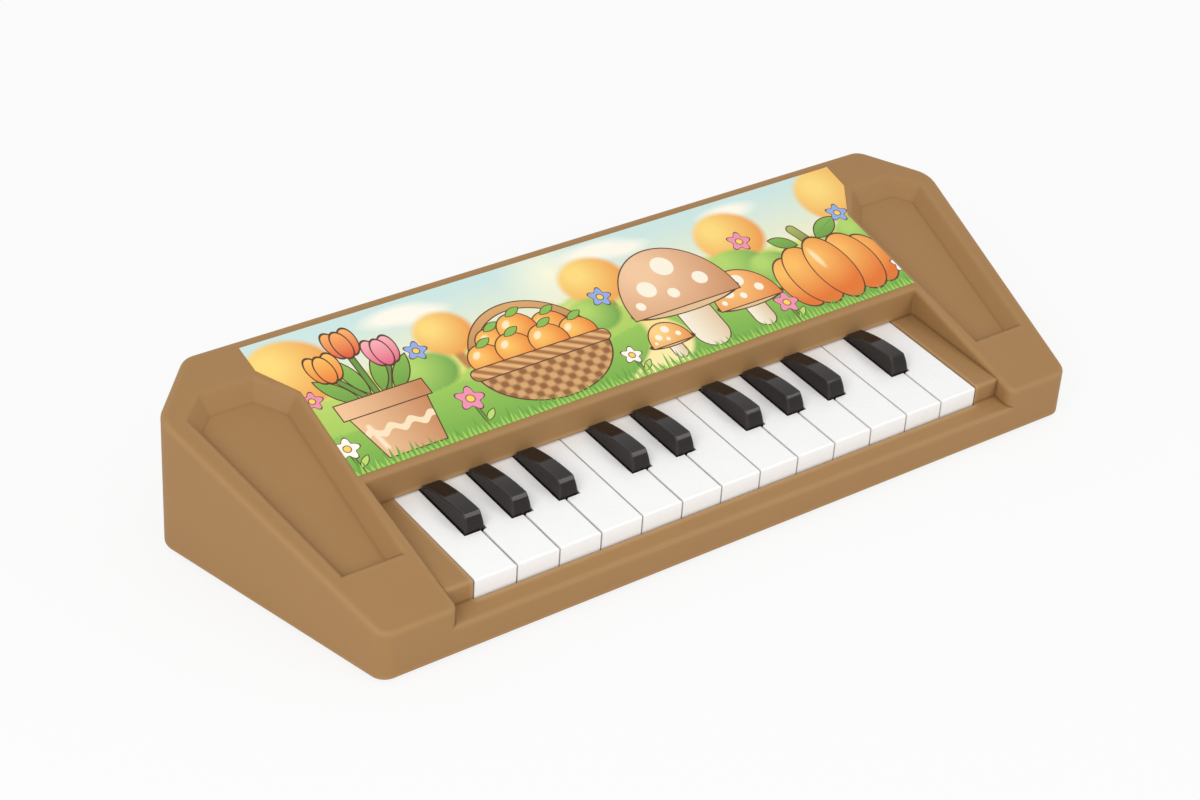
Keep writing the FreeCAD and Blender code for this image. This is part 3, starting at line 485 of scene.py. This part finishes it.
# %% [markdown]
# ## The printed label: how a picture is drawn in a shader
# The sloping panel carries a satin printed label. Its picture here is our own: a sunny orchard in a toy
# label's yellows, greens, oranges and browns. Each motif is a distance field, small in its middle and
# growing outwards, measured in millimetres on the label. A mask is then one clamped sum, and an ink line
# is the same field with a higher level, so the print stays sharp at any zoom without an image file.
# One shader with every motif would be slow, so the label is cut into upright strips, and each strip's
# shader holds only the motifs that touch it. They share one frame, so no seam shows.

# %% Cut a copy of the label into strips
label_low, label_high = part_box("artwork_label")
label_run = label_high.y - label_low.y
label_lean = math.hypot(label_run, label_high.z - label_low.z) / label_run
strip_count = 12
strip_width = (label_high.x - label_low.x) / strip_count
cuts = bmesh.new()
cuts.from_mesh(nodes["artwork_label"].data)
for number in range(1, strip_count):
    whole = cuts.verts[:] + cuts.edges[:] + cuts.faces[:]
    line_x = label_low.x + number * strip_width
    bmesh.ops.bisect_plane(cuts, geom=whole, plane_co=(line_x, 0, 0), plane_no=(1, 0, 0))
for face in cuts.faces:
    face.smooth = False
    face.material_index = int((face.calc_center_median().x - label_low.x) / strip_width)
label_mesh = bpy.data.meshes.new("printed_label")
cuts.to_mesh(label_mesh)
cuts.free()
label = bpy.data.objects.new("printed_label", label_mesh)
bpy.context.scene.collection.objects.link(label)
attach(label, "case")
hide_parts("artwork_label")
strip_mm = round(strip_width * mm_in_m, 1)
print("label of", len(label_mesh.polygons), "faces in", strip_count, "strips of", strip_mm, "mm")

# %% [markdown]
# ## Shapes on a strip
# A shape is three things: a field, the level of that field at the shape's edge, and how many millimetres
# one step of the field is. A disc, for one, is the distance from its middle, with the radius as the level.
# A shape that doesn't reach a strip is None there, and painting skips it, so no strip has idle nodes.

# %% Shapes as distance fields
spill = 3.0


class Shapes:
    """The fields of one strip, in millimetres across and up the label."""

    def __init__(self, number):
        self.left = (label_low.x + number * strip_width) * mm_in_m
        self.right = self.left + strip_width * mm_in_m
        self.material, self.shader, self.place = new_finish("orchard_print_" + str(number))
        foot = (0, -label_low.y * mm_in_m * label_lean, 0)
        self.spot = self.place.vector("MULTIPLY_ADD", (1, label_lean, 0), foot)
        self.across = self.spot.part("X")
        self.up = self.spot.part("Y")
        self.blur = noise(stretched(self.place, 1, 0.3, 0.3), 0.9, detail=3.0)

    def sees(self, x, reach):
        return self.left - reach - spill < x < self.right + reach + spill

    def turned(self, x, y, lean, width=1.0, height=1.0):
        """The place seen from a middle, turned and scaled."""
        sockets = {"Vector": self.spot, "Location": (x, y, 0), "Rotation": (0, 0, math.radians(lean))}
        sockets["Scale"] = (width, height, 1)
        return self.spot.make("Mapping", {"vector_type": "TEXTURE"}, sockets)

    def disc(self, x, y, radius):
        if self.sees(x, radius):
            return self.spot.distance((x, y, 0)), radius, 1.0

    def oval(self, x, y, half_width, half_height, lean=0.0):
        if self.sees(x, max(half_width, half_height)):
            near = self.turned(x, y, lean, half_width, half_height)
            return near.length(), 1.0, min(half_width, half_height)

    def block(self, x, y, half_width, half_height, flare=0.0):
        """A box whose half width grows by the flare for each millimetre up the label."""
        if self.sees(x, half_width + flare * (y + half_height)):
            sides = abs(self.across - x) - half_width
            if flare:
                sides -= self.up * flare
            return sides.most(abs(self.up - y) - half_height), 0.0, 1.0

    def stroke(self, x1, y1, x2, y2, radius):
        half = math.hypot(x2 - x1, y2 - y1) / 2
        if self.sees((x1 + x2) / 2, half + radius):
            near = self.turned((x1 + x2) / 2, (y1 + y2) / 2, math.degrees(math.atan2(y2 - y1, x2 - x1)))
            past = near.vector("ABSOLUTE").vector("SUBTRACT", (half, 0, 0)).vector("MAXIMUM", (0, 0, 0))
            return past.length(), radius, 1.0

    def leaf(self, x, y, half_length, half_width, lean):
        """Two arcs that meet in points."""
        radius = (half_length ** 2 + half_width ** 2) / (2 * half_width)
        if self.sees(x, half_length):
            near = self.turned(x, y, lean).vector("ABSOLUTE")
            return near.distance((0, half_width - radius, 0)), radius, 1.0

    def petals(self, x, y, radius, count, depth):
        """A flower whose radius swings round its middle."""
        if self.sees(x, radius * (1 + depth)):
            step = self.spot.vector("SUBTRACT", (x, y, 0))
            angle = step.part("Y").math("ARCTAN2", step.part("X"))
            swing = (angle * count).math("COSINE")
            return step.length() / (swing * depth + 1), radius, 1.0

    def hill(self, level, height, wave, shift, rough):
        """Ground below a rolling, grassy line."""
        roll = (self.across * wave + shift).sine()
        return self.up - roll * height + self.blur * rough, level, 1.0

    def inside(self, shape):
        """A shape as plain millimetres: negative inside."""
        field, level, unit = shape
        return field.math("MULTIPLY_ADD", unit, -level * unit)

    def above(self, shape, height):
        if shape:
            return self.inside(shape).most(height - self.up), 0.0, 1.0

    def below(self, shape, height):
        if shape:
            return self.inside(shape).most(self.up - height), 0.0, 1.0


print("a shape counts for a strip from", spill, "mm away")

# %% [markdown]
# ## Paint for the shapes
# A print is laid on from back to front: each shape's mask mixes its colour over the picture so far. Flat
# colour would look like cut paper, so most shapes take a colour that changes over them. Such a colour is
# a function, which is called only where its shape is seen.

# %% Paint inside a shape
ink = tint(84, 50, 30)
ink_line = 0.42
crisp = 0.14


class Print(Shapes):
    """One strip of the label and the picture on it so far."""

    def cover(self, colour):
        """Start the picture with one colour all over."""
        self.picture = colour()

    def lay(self, shape, colour, soft=crisp, grow=0.0):
        """Colour inside a shape; soft is the width of its edge."""
        if shape:
            field, level, unit = shape
            mask = field.math("MULTIPLY_ADD", -unit / soft, 0.5 + (level * unit + grow) / soft, clamp=True)
            self.picture = mask.between(self.picture, colour() if callable(colour) else colour)

    def inked(self, shape, colour, width=ink_line):
        """The same with a dark line round it."""
        self.lay(shape, ink, grow=width)
        self.lay(shape, colour)

    def rising(self, low, first, high, second):
        """A colour that changes going up the label."""
        return lambda: self.up.fade(low, high).between(first, second)

    def sideways(self, left, first, right, second):
        """A colour that changes from left to right."""
        return lambda: self.across.fade(left, right).between(first, second)

    def lit(self, x, y, radius, bright, deep):
        """Light from the upper left on a round thing."""
        bright_spot = (x - radius * 0.35, y + radius * 0.35, 0)

        def shaded():
            away = self.spot.distance(bright_spot)
            return away.fade(radius * 0.2, radius * 1.5).between(bright, deep)

        return shaded


print("ink lines of", ink_line, "mm, with an edge", crisp, "mm wide")

# %% [markdown]
# ## The background of the print
# Behind the motifs lies an airbrushed landscape: pale sky, rolling meadows, soft amber trees and bushes.
# Soft edges are the same masks with a wide fade, so near things are crisp and far things hazy. The rows
# give a middle, half a width and half a height, in millimetres across and up the label.

# %% Sky, far hill and trees
clouds = ((-64, 51, 11, 3.4), (-56, 48.5, 8, 2.8), (12, 52, 12, 3.4), (22, 49.5, 8, 2.6), (66, 51, 10, 3.2))
soft_trees = ((-106, 42, 15, 13), (-54, 39, 10, 9), (4, 41, 12, 10), (60, 41, 13, 11), (109, 45, 15, 13))
sun_x, sun_y, sun_radius, sun_glow = -8, 49, 8, 20
sky_low, sky_high = 22, 54
trunk = 1.6


def far_country(sheet):
    sheet.cover(sheet.rising(sky_low, tint(255, 243, 190), sky_high, tint(206, 232, 228)))
    if sheet.sees(sun_x, sun_glow):
        sun = sheet.spot.distance((sun_x, sun_y, 0)), sun_radius, 1.0
        sheet.lay(sun, tint(255, 252, 222), sun_glow)
    for x, y, half_width, half_height in clouds:
        sheet.lay(sheet.oval(x, y, half_width, half_height), tint(255, 251, 236), soft=2.6)
    far_green = sheet.rising(24, tint(226, 228, 124), 42, tint(196, 216, 130))
    sheet.lay(sheet.hill(level=36, height=4.0, wave=0.045, shift=0.8, rough=1.5), far_green, soft=1.6)
    for x, y, half_width, half_height in soft_trees:
        sheet.lay(sheet.oval(x, y - half_height, trunk, half_height), tint(190, 132, 76), soft=1.2)
        glow = sheet.lit(x, y, half_width, tint(255, 220, 124), tint(238, 150, 64))
        sheet.lay(sheet.oval(x, y, half_width, half_height), glow, soft=2.0)


print(len(clouds), "clouds and", len(soft_trees), "trees")

# %% Meadow, bushes and a path
meadow, deep_green = tint(166, 206, 92), tint(104, 160, 70)
bushes = ((-68, 27, 11, 8), (-4, 28, 9, 7), (54, 28, 12, 8), (66, 24, 9, 7), (107, 27, 10, 8))
path_x, path_reach = 10, 22
path_foot, path_half_width, path_top = 2, 12, 22


def near_country(sheet):
    near_green = sheet.rising(14, meadow, 32, tint(196, 218, 108))
    sheet.lay(sheet.hill(level=28, height=3.5, wave=0.06, shift=2.2, rough=3.0), near_green, soft=1.2)
    for x, y, half_width, half_height in bushes:
        leaves = sheet.lit(x, y, half_width, tint(180, 216, 106), deep_green)
        sheet.lay(sheet.oval(x, y, half_width, half_height), leaves, soft=1.6)
    lawn = sheet.rising(2, tint(120, 176, 72), 22, tint(160, 204, 90))
    sheet.lay(sheet.hill(level=19, height=2.4, wave=0.08, shift=0.3, rough=3.0), lawn, soft=0.9)
    if sheet.sees(path_x, path_reach):
        bend = (sheet.up * 0.16).sine() * 6 + sheet.up * 0.5
        narrowing = sheet.up * 0.42
        path = abs(sheet.across - bend - path_foot) + narrowing, path_half_width, 1.0
        sand = sheet.rising(0, tint(255, 240, 178), path_top, tint(250, 224, 140))
        sheet.lay(sheet.below(path, path_top), sand, soft=2.2)


print(len(bushes), "bushes and a path", path_top, "mm long")

# %% [markdown]
# ## Motifs in front
# Four groups stand in the meadow: a pot of tulips, a basket of oranges, mushrooms and a pumpkin. Each is
# a few fields laid from back to front, filled with a colour that turns from lit to shaded, and inked. The
# pot comes first: stems, then leaves, then three petals to a flower, and the clay in front of them all.

# %% Tulips in a clay pot
stem_green, leaf_green = tint(104, 152, 62), tint(138, 190, 82)
tulips = (
    (-96, 40, tint(255, 196, 98), tint(240, 134, 56)),
    (-76, 40, tint(252, 180, 186), tint(232, 108, 134)),
    (-86, 47, tint(255, 178, 104), tint(226, 96, 60)),
)
tulip_leaves = ((-97, 30, 128), (-75, 30, 52), (-90, 34, 104), (-81, 33, 70))
stem_foot, stem_spread, stem_radius = 24, 0.3, 0.8
petal_half_width, petal_half_height, petal_aside = 2.7, 5.2, 2.6
pot_x, pot_y, pot_half_width, pot_half_height, pot_flare = -86, 12, 9.4, 9.6, 0.2
rim_y, rim_half_width, rim_half_height = 22.6, 15.2, 3.0
clay_half_width, zigzag_half_width = 13, 1.3


def tulip_pot(sheet):
    for x, y, bright, deep in tulips:
        stem_x = pot_x + (x - pot_x) * stem_spread
        sheet.inked(sheet.stroke(stem_x, stem_foot, x, y - 4, stem_radius), stem_green)
    for x, y, lean in tulip_leaves:
        sheet.inked(sheet.leaf(x, y, 8, 2.4, lean), sheet.rising(22, stem_green, 38, leaf_green))
    for x, y, bright, deep in tulips:
        petal = sheet.rising(y - 5, deep, y + 5, bright)
        for side in (-1, 1):
            outer = sheet.oval(x + side * petal_aside, y, petal_half_width, petal_half_height, -8 * side)
            sheet.inked(outer, petal)
        sheet.inked(sheet.oval(x, y - 0.6, petal_half_width, petal_half_height), petal)
    left, right = pot_x - clay_half_width, pot_x + clay_half_width
    clay = sheet.sideways(left, tint(244, 198, 152), right, tint(200, 136, 90))
    pot = sheet.block(pot_x, pot_y, pot_half_width, pot_half_height, pot_flare)
    sheet.inked(pot, clay)
    if pot:
        zigzag = abs(sheet.up - pot_y - (sheet.across * 0.9).sine()) - zigzag_half_width
        sheet.lay((sheet.inside(pot).most(zigzag), 0.0, 1.0), tint(252, 230, 192))
    sheet.inked(sheet.block(pot_x, rim_y, rim_half_width, rim_half_height), clay)
    sheet.lay(sheet.stroke(pot_x - 8.4, 6, pot_x - 9.6, 15, 0.8), tint(255, 230, 198), soft=0.9)


print(len(tulips), "tulips and", len(tulip_leaves), "leaves in the pot")

# %% [markdown]
# ## A basket of oranges
# The weave of a basket is the product of two sine waves, one up and one across, which gives a field of
# light and dark squares. The plaited rim is one slanting wave on a stroke. The oranges are lit discs with
# a gleam and a leaf each, drawn before the bowl so that it hides their lower halves.

# %% Oranges in a basket
oranges = (
    (-41, 29.5, 6.2), (-20, 29, 6.4), (-31, 32, 6.6), (-47, 24.5, 6.2),
    (-13, 24, 6.2), (-36, 25, 6.6), (-24, 24.5, 6.6),
)
basket_x, basket_rim = -30, 20
bowl_half_width, bowl_depth = 24, 17.5
handle_radius, handle_half_width = 21.5, 1.3
plait_half_length, plait_half_width = 23.5, 2.2


def orange_basket(sheet):
    if not sheet.sees(basket_x, bowl_half_width + plait_half_width):
        return
    ring = abs(sheet.spot.distance((basket_x, basket_rim, 0)) - handle_radius), handle_half_width, 1.0
    cane = sheet.rising(20, tint(176, 118, 66), 42, tint(220, 168, 106))
    sheet.inked(sheet.above(ring, basket_rim), cane)
    for x, y, radius in oranges:
        peel = sheet.lit(x, y, radius, tint(255, 196, 98), tint(236, 122, 38))
        sheet.inked(sheet.disc(x, y, radius), peel)
        gleam = sheet.oval(x - radius * 0.4, y + radius * 0.45, radius * 0.28, radius * 0.16, 40)
        sheet.lay(gleam, tint(255, 236, 194), soft=0.6)
        sheet.inked(sheet.leaf(x + 2.2, y + radius + 0.4, 3.0, 1.2, 20), leaf_green, 0.3)
    bowl = sheet.below(sheet.oval(basket_x, basket_rim, bowl_half_width, bowl_depth), basket_rim)
    weave = (sheet.up * 1.25).sine() * (sheet.across * 1.15).sine()
    sheet.inked(bowl, weave.fade(-0.5, 0.5).between(tint(150, 98, 56), tint(218, 168, 110)))
    braid = ((sheet.across + sheet.up * 1.6) * 1.1).sine().fade(-0.7, 0.7)
    left, right = basket_x - plait_half_length, basket_x + plait_half_length
    plait = sheet.stroke(left, basket_rim, right, basket_rim, plait_half_width)
    sheet.inked(plait, braid.between(tint(170, 112, 64), tint(230, 180, 120)))


print(len(oranges), "oranges in a basket", 2 * bowl_half_width, "mm wide")

# %% [markdown]
# ## Mushrooms and a pumpkin
# A mushroom is drawn by one function, which works out each size from the height and the cap's width and is
# called three times. The pumpkin's ribs are ovals laid from the sides inwards, so the middle one is on
# top. Both are round, so their colours are lit from a point at the upper left.

# %% Mushrooms
spot_shares = (
    (-0.45, 0.20, 0.16), (0.08, 0.36, 0.19), (0.52, 0.16, 0.13), (-0.08, 0.10, 0.10), (-0.75, 0.07, 0.08),
)
mushroom_group = (
    (49, 3, 25, 12.5, tint(255, 200, 124), tint(232, 136, 66)),
    (28, 2, 44, 21, tint(246, 202, 160), tint(206, 144, 100)),
    (13, 2, 15, 7.5, tint(255, 212, 132), tint(238, 150, 74)),
)
brim_share, cap_share, stem_share = 0.46, 0.54, 0.3


def mushroom(sheet, x, foot, height, half_width, bright, deep):
    brim = foot + height * brim_share
    stem_half, shade_half = half_width * stem_share, half_width * 0.4
    stem = sheet.sideways(x - shade_half, tint(255, 248, 228), x + shade_half, tint(226, 196, 156))
    sheet.inked(sheet.stroke(x, foot + stem_half, x, brim, stem_half), stem)
    sheet.inked(sheet.oval(x, brim, half_width * 0.94, half_width * 0.2), tint(230, 194, 148))
    cap = sheet.above(sheet.oval(x, brim, half_width, height * cap_share), brim - half_width * 0.08)
    sheet.inked(cap, sheet.lit(x, brim + height * 0.2, half_width, bright, deep))
    for spot_x, spot_y, size in spot_shares:
        spot = sheet.disc(x + half_width * spot_x, brim + height * spot_y, half_width * size)
        sheet.lay(spot, tint(255, 246, 224), soft=0.3)


def mushrooms(sheet):
    for row in mushroom_group:
        mushroom(sheet, *row)


print(len(mushroom_group), "mushrooms with", len(spot_shares), "spots each")

# %% Pumpkin with leaves
ribs = ((70, 15, 7, 11), (102, 15, 7, 11), (76.5, 16, 8, 13), (95.5, 16, 8, 13), (86, 16.5, 7.5, 14))
stalk = (86, 28, 83, 36, 1.7)
rib_gleam = (83, 22, 1.1, 4.2, 6)
pumpkin_leaves = ((95, 33, 6.5, 3.0, 28), (76, 32, 5.0, 2.2, 150))
leaf_vein = (90, 31, 100, 35.4, 0.18)


def pumpkin(sheet):
    sheet.inked(sheet.stroke(*stalk), sheet.rising(26, tint(116, 128, 58), 38, tint(176, 184, 98)))
    for x, y, half_width, half_height in ribs:
        glow = sheet.lit(x, y + 3, half_width * 1.4, tint(255, 190, 96), tint(230, 118, 42))
        sheet.inked(sheet.oval(x, y, half_width, half_height), glow)
    sheet.lay(sheet.oval(*rib_gleam), tint(255, 230, 178), soft=0.9)
    for row in pumpkin_leaves:
        sheet.inked(sheet.leaf(*row), sheet.rising(28, stem_green, 38, leaf_green))
    sheet.lay(sheet.stroke(*leaf_vein), deep_green)


print(len(ribs), "ribs and", len(pumpkin_leaves), "leaves on the pumpkin")

# %% [markdown]
# ## Small things and the surface of the print
# Flowers in pink, blue and white are the small accents. Blades of grass along the bottom are one blade
# repeated: the place across is cut into cells, and each cell draws its own height. Last comes the film
# over the print, satin with faint scratches, which goes into roughness and bump.

# %% Flowers and grass
pink, blue, cream = tint(244, 148, 178), tint(148, 174, 232), tint(255, 250, 240)
flowers = (
    (-61, 13, 4.6, pink), (-66, 36, 3.6, blue), (60, 9, 4.2, pink), (2, 34, 3.8, blue), (-3, 9, 3.4, cream),
    (62, 38, 4.0, pink), (-106, 10, 4.0, cream), (104, 37, 3.8, blue), (-106, 30, 3.4, pink),
    (110, 9, 3.6, cream),
)
tallest_stem = 20
grass_rows = ((2.3, 7.0, 0.75, 11, tint(108, 162, 64)), (1.7, 4.6, 0.6, 47, tint(164, 206, 92)))


def wildflowers(sheet):
    for x, y, radius, colour in flowers:
        if y < tallest_stem:
            sheet.inked(sheet.stroke(x, 0, x, y, 0.4), stem_green, 0.3)
            sheet.inked(sheet.leaf(x + 2.4, y * 0.4, 2.6, 0.9, 40), tint(190, 222, 110), 0.3)
        sheet.inked(sheet.petals(x, y, radius * 0.82, count=5, depth=0.24), colour, 0.36)
        sheet.inked(sheet.disc(x, y, radius * 0.28), tint(255, 214, 96), 0.3)


def grass(sheet):
    for pitch, height, half_width, seed, colour in grass_rows:
        cell = (sheet.across / pitch).math("FLOOR")
        luck = cell.make("TexWhiteNoise", {"noise_dimensions": "1D"}, {"W": cell + seed}, out="Value")
        middle = cell * pitch + pitch / 2 + (luck - 0.5) * sheet.up * 0.5
        tall = luck * 0.6 * height + 0.4 * height
        blade = abs(sheet.across - middle) + sheet.up / tall * half_width
        sheet.lay((blade, half_width, 1.0), colour, soft=0.2)


print(len(flowers), "flowers and", len(grass_rows), "rows of grass")

# %% Paint every strip
motifs = (
    far_country, near_country, tulip_pot, orange_basket, mushrooms, pumpkin, wildflowers, grass,
)
strip_nodes = []
for number in range(strip_count):
    sheet = Print(number)
    for motif in motifs:
        motif(sheet)
    paper = noise(sheet.place, 1.6, detail=4.0)
    scratch = noise(stretched(sheet.place, 0.05, 1.4, 1), 1.7, detail=4.0, roughness=0.7).fade(0.62, 0.76)
    feed(sheet.shader, "Base Color", sheet.picture.times(0.96 + paper * 0.06))
    feed(sheet.shader, "Roughness", 0.34 + paper * 0.12 + scratch * 0.10)
    feed(sheet.shader, "Normal", relief(paper * 0.4 + scratch * 0.2, depth=0.02, strength=0.5))
    feed(sheet.shader, "Specular IOR Level", 0.28)
    label_mesh.materials.append(sheet.material)
    strip_nodes.append(len(sheet.material.node_tree.nodes))
print("nodes in each strip:", strip_nodes)

# %% [markdown]
# ## Floor
# The toy stands on a plain white ground and throws a soft shadow on it. A floor that is lit up to white
# would wash the toy out, so Light Path lets the camera and the reflections see most of it as plain white,
# while it lights the toy as any pale floor does. From below it is clear, for a look at the underside. Its
# two triangles meet in a seam that shades what lies close above it, so the seam runs aside of the toy.

# %% Pale floor
reach, aside = 6.0, 2.0
white_share = 0.84
white, pale_grey = (1, 1, 1, 1), (0.88, 0.88, 0.88, 1)
left_end, right_end = -reach - aside, reach - aside
corners = [(left_end, -reach, 0), (right_end, -reach, 0), (right_end, reach, 0), (left_end, reach, 0)]
floor_mesh = bpy.data.meshes.new("floor")
floor_mesh.from_pydata(corners, [], [(0, 1, 2, 3)])
floor = bpy.data.objects.new("floor", floor_mesh)
bpy.context.scene.collection.objects.link(floor)


def looked_at(start):
    """1 for rays from the camera, also by way of a mirror or through something clear."""
    straight = start.make("LightPath", out="Is Camera Ray")
    mirrored = start.make("LightPath", out="Is Glossy Ray")
    through = start.make("LightPath", out="Is Transmission Ray")
    return straight.most(mirrored).most(through)


pale = bpy.data.materials.new("pale_floor")
pale.use_nodes = True
pale.node_tree.nodes.clear()
start = Flow(pale.node_tree)
ground = start.make("BsdfDiffuse", None, {"Color": pale_grey})
glow = start.make("Emission", None, {"Color": white, "Strength": 1.0})
above = start.make("MixShader", None, {0: looked_at(start) * white_share, 1: ground, 2: glow})
clear = start.make("BsdfTransparent", None, {"Color": white})
from_below = start.make("NewGeometry", out="Backfacing")
both = start.make("MixShader", None, {0: from_below, 1: above, 2: clear})
start.make("OutputMaterial", None, {"Surface": both})
floor_mesh.materials.append(pale)
print("floor", 2 * reach, "m wide, seen as", white_share, "white")

# %% [markdown]
# ## Sky and lamps
# A white sky gives the evenness of a light tent. Two soft lamps add just enough direction to read the
# shapes: a large one from the upper left, and a smaller one from the right front that draws a highlight
# on the round front edges of the black keys. Stronger lamps would throw dark shadows beside the keys.

# %% White sky
world = bpy.data.worlds.new("white_sky")
bpy.context.scene.world = world
world.use_nodes = True
world.node_tree.nodes.clear()
sky = Flow(world.node_tree)
sky_level = 0.71
strength = looked_at(sky) * (1 - sky_level) + sky_level
air = sky.make("Background", None, {"Color": white, "Strength": strength})
sky.make("OutputWorld", None, {"Surface": air})
print("sky lights with", sky_level, "and is seen as white")

# %% Soft lamps
toy_middle = Vector((0, 0, 0.02))


def soft_lamp(name, place, size, power):
    lamp = bpy.data.lights.new(name, "AREA")
    lamp.shape = "DISK"
    lamp.size = size
    lamp.energy = power
    stand = bpy.data.objects.new(name, lamp)
    stand.location = place
    stand.rotation_mode = "QUATERNION"
    stand.rotation_quaternion = (toy_middle - Vector(place)).to_track_quat("-Z", "Y")
    bpy.context.scene.collection.objects.link(stand)
    print(name, "at", place, "with", power, "watts")


soft_lamp("left_softbox", (-1.02, -0.55, 0.73), size=0.8, power=6.2)
soft_lamp("right_softbox", (0.64, -0.97, 0.64), size=0.45, power=2.6)

# %% [markdown]
# ## Camera
# The camera was fitted to the straight edges of the case and to the gaps between keys: a long lens from
# the left front, about 32 degrees up and tilted a little. Its axes are written out, so the tilt is exact.

# %% Camera
focal_px, image_width = 2619.75, 1200
azimuth, elevation, roll = (math.radians(v) for v in (-39.263, 31.871, 4.047))
target = Vector((-0.007482, 0.013284, 0.0162))
distance = 0.82133
flat = math.cos(elevation)
back = Vector((math.sin(azimuth) * flat, -math.cos(azimuth) * flat, math.sin(elevation)))
level = Vector((math.cos(azimuth), math.sin(azimuth), 0))
over = back.cross(level)
right = math.cos(roll) * level + math.sin(roll) * over
up = -math.sin(roll) * level + math.cos(roll) * over
turn = Matrix((right, up, back)).transposed().to_4x4()
lens = bpy.data.cameras.new("product_camera")
lens.sensor_fit = "HORIZONTAL"
lens.sensor_width = 36.0
lens.lens = focal_px / image_width * lens.sensor_width
lens.clip_start = 0.01
eye = bpy.data.objects.new("product_camera", lens)
eye.matrix_world = Matrix.Translation(target + back * distance) @ turn
bpy.context.scene.collection.objects.link(eye)
bpy.context.scene.camera = eye
print("lens", round(lens.lens, 1), "mm at", [round(v, 3) for v in eye.location])

# %% [markdown]
# ## View transform
# The view transform is plain, so a colour on the screen is the colour that was written.

# %% Finish
bpy.context.scene.view_settings.view_transform = "Standard"
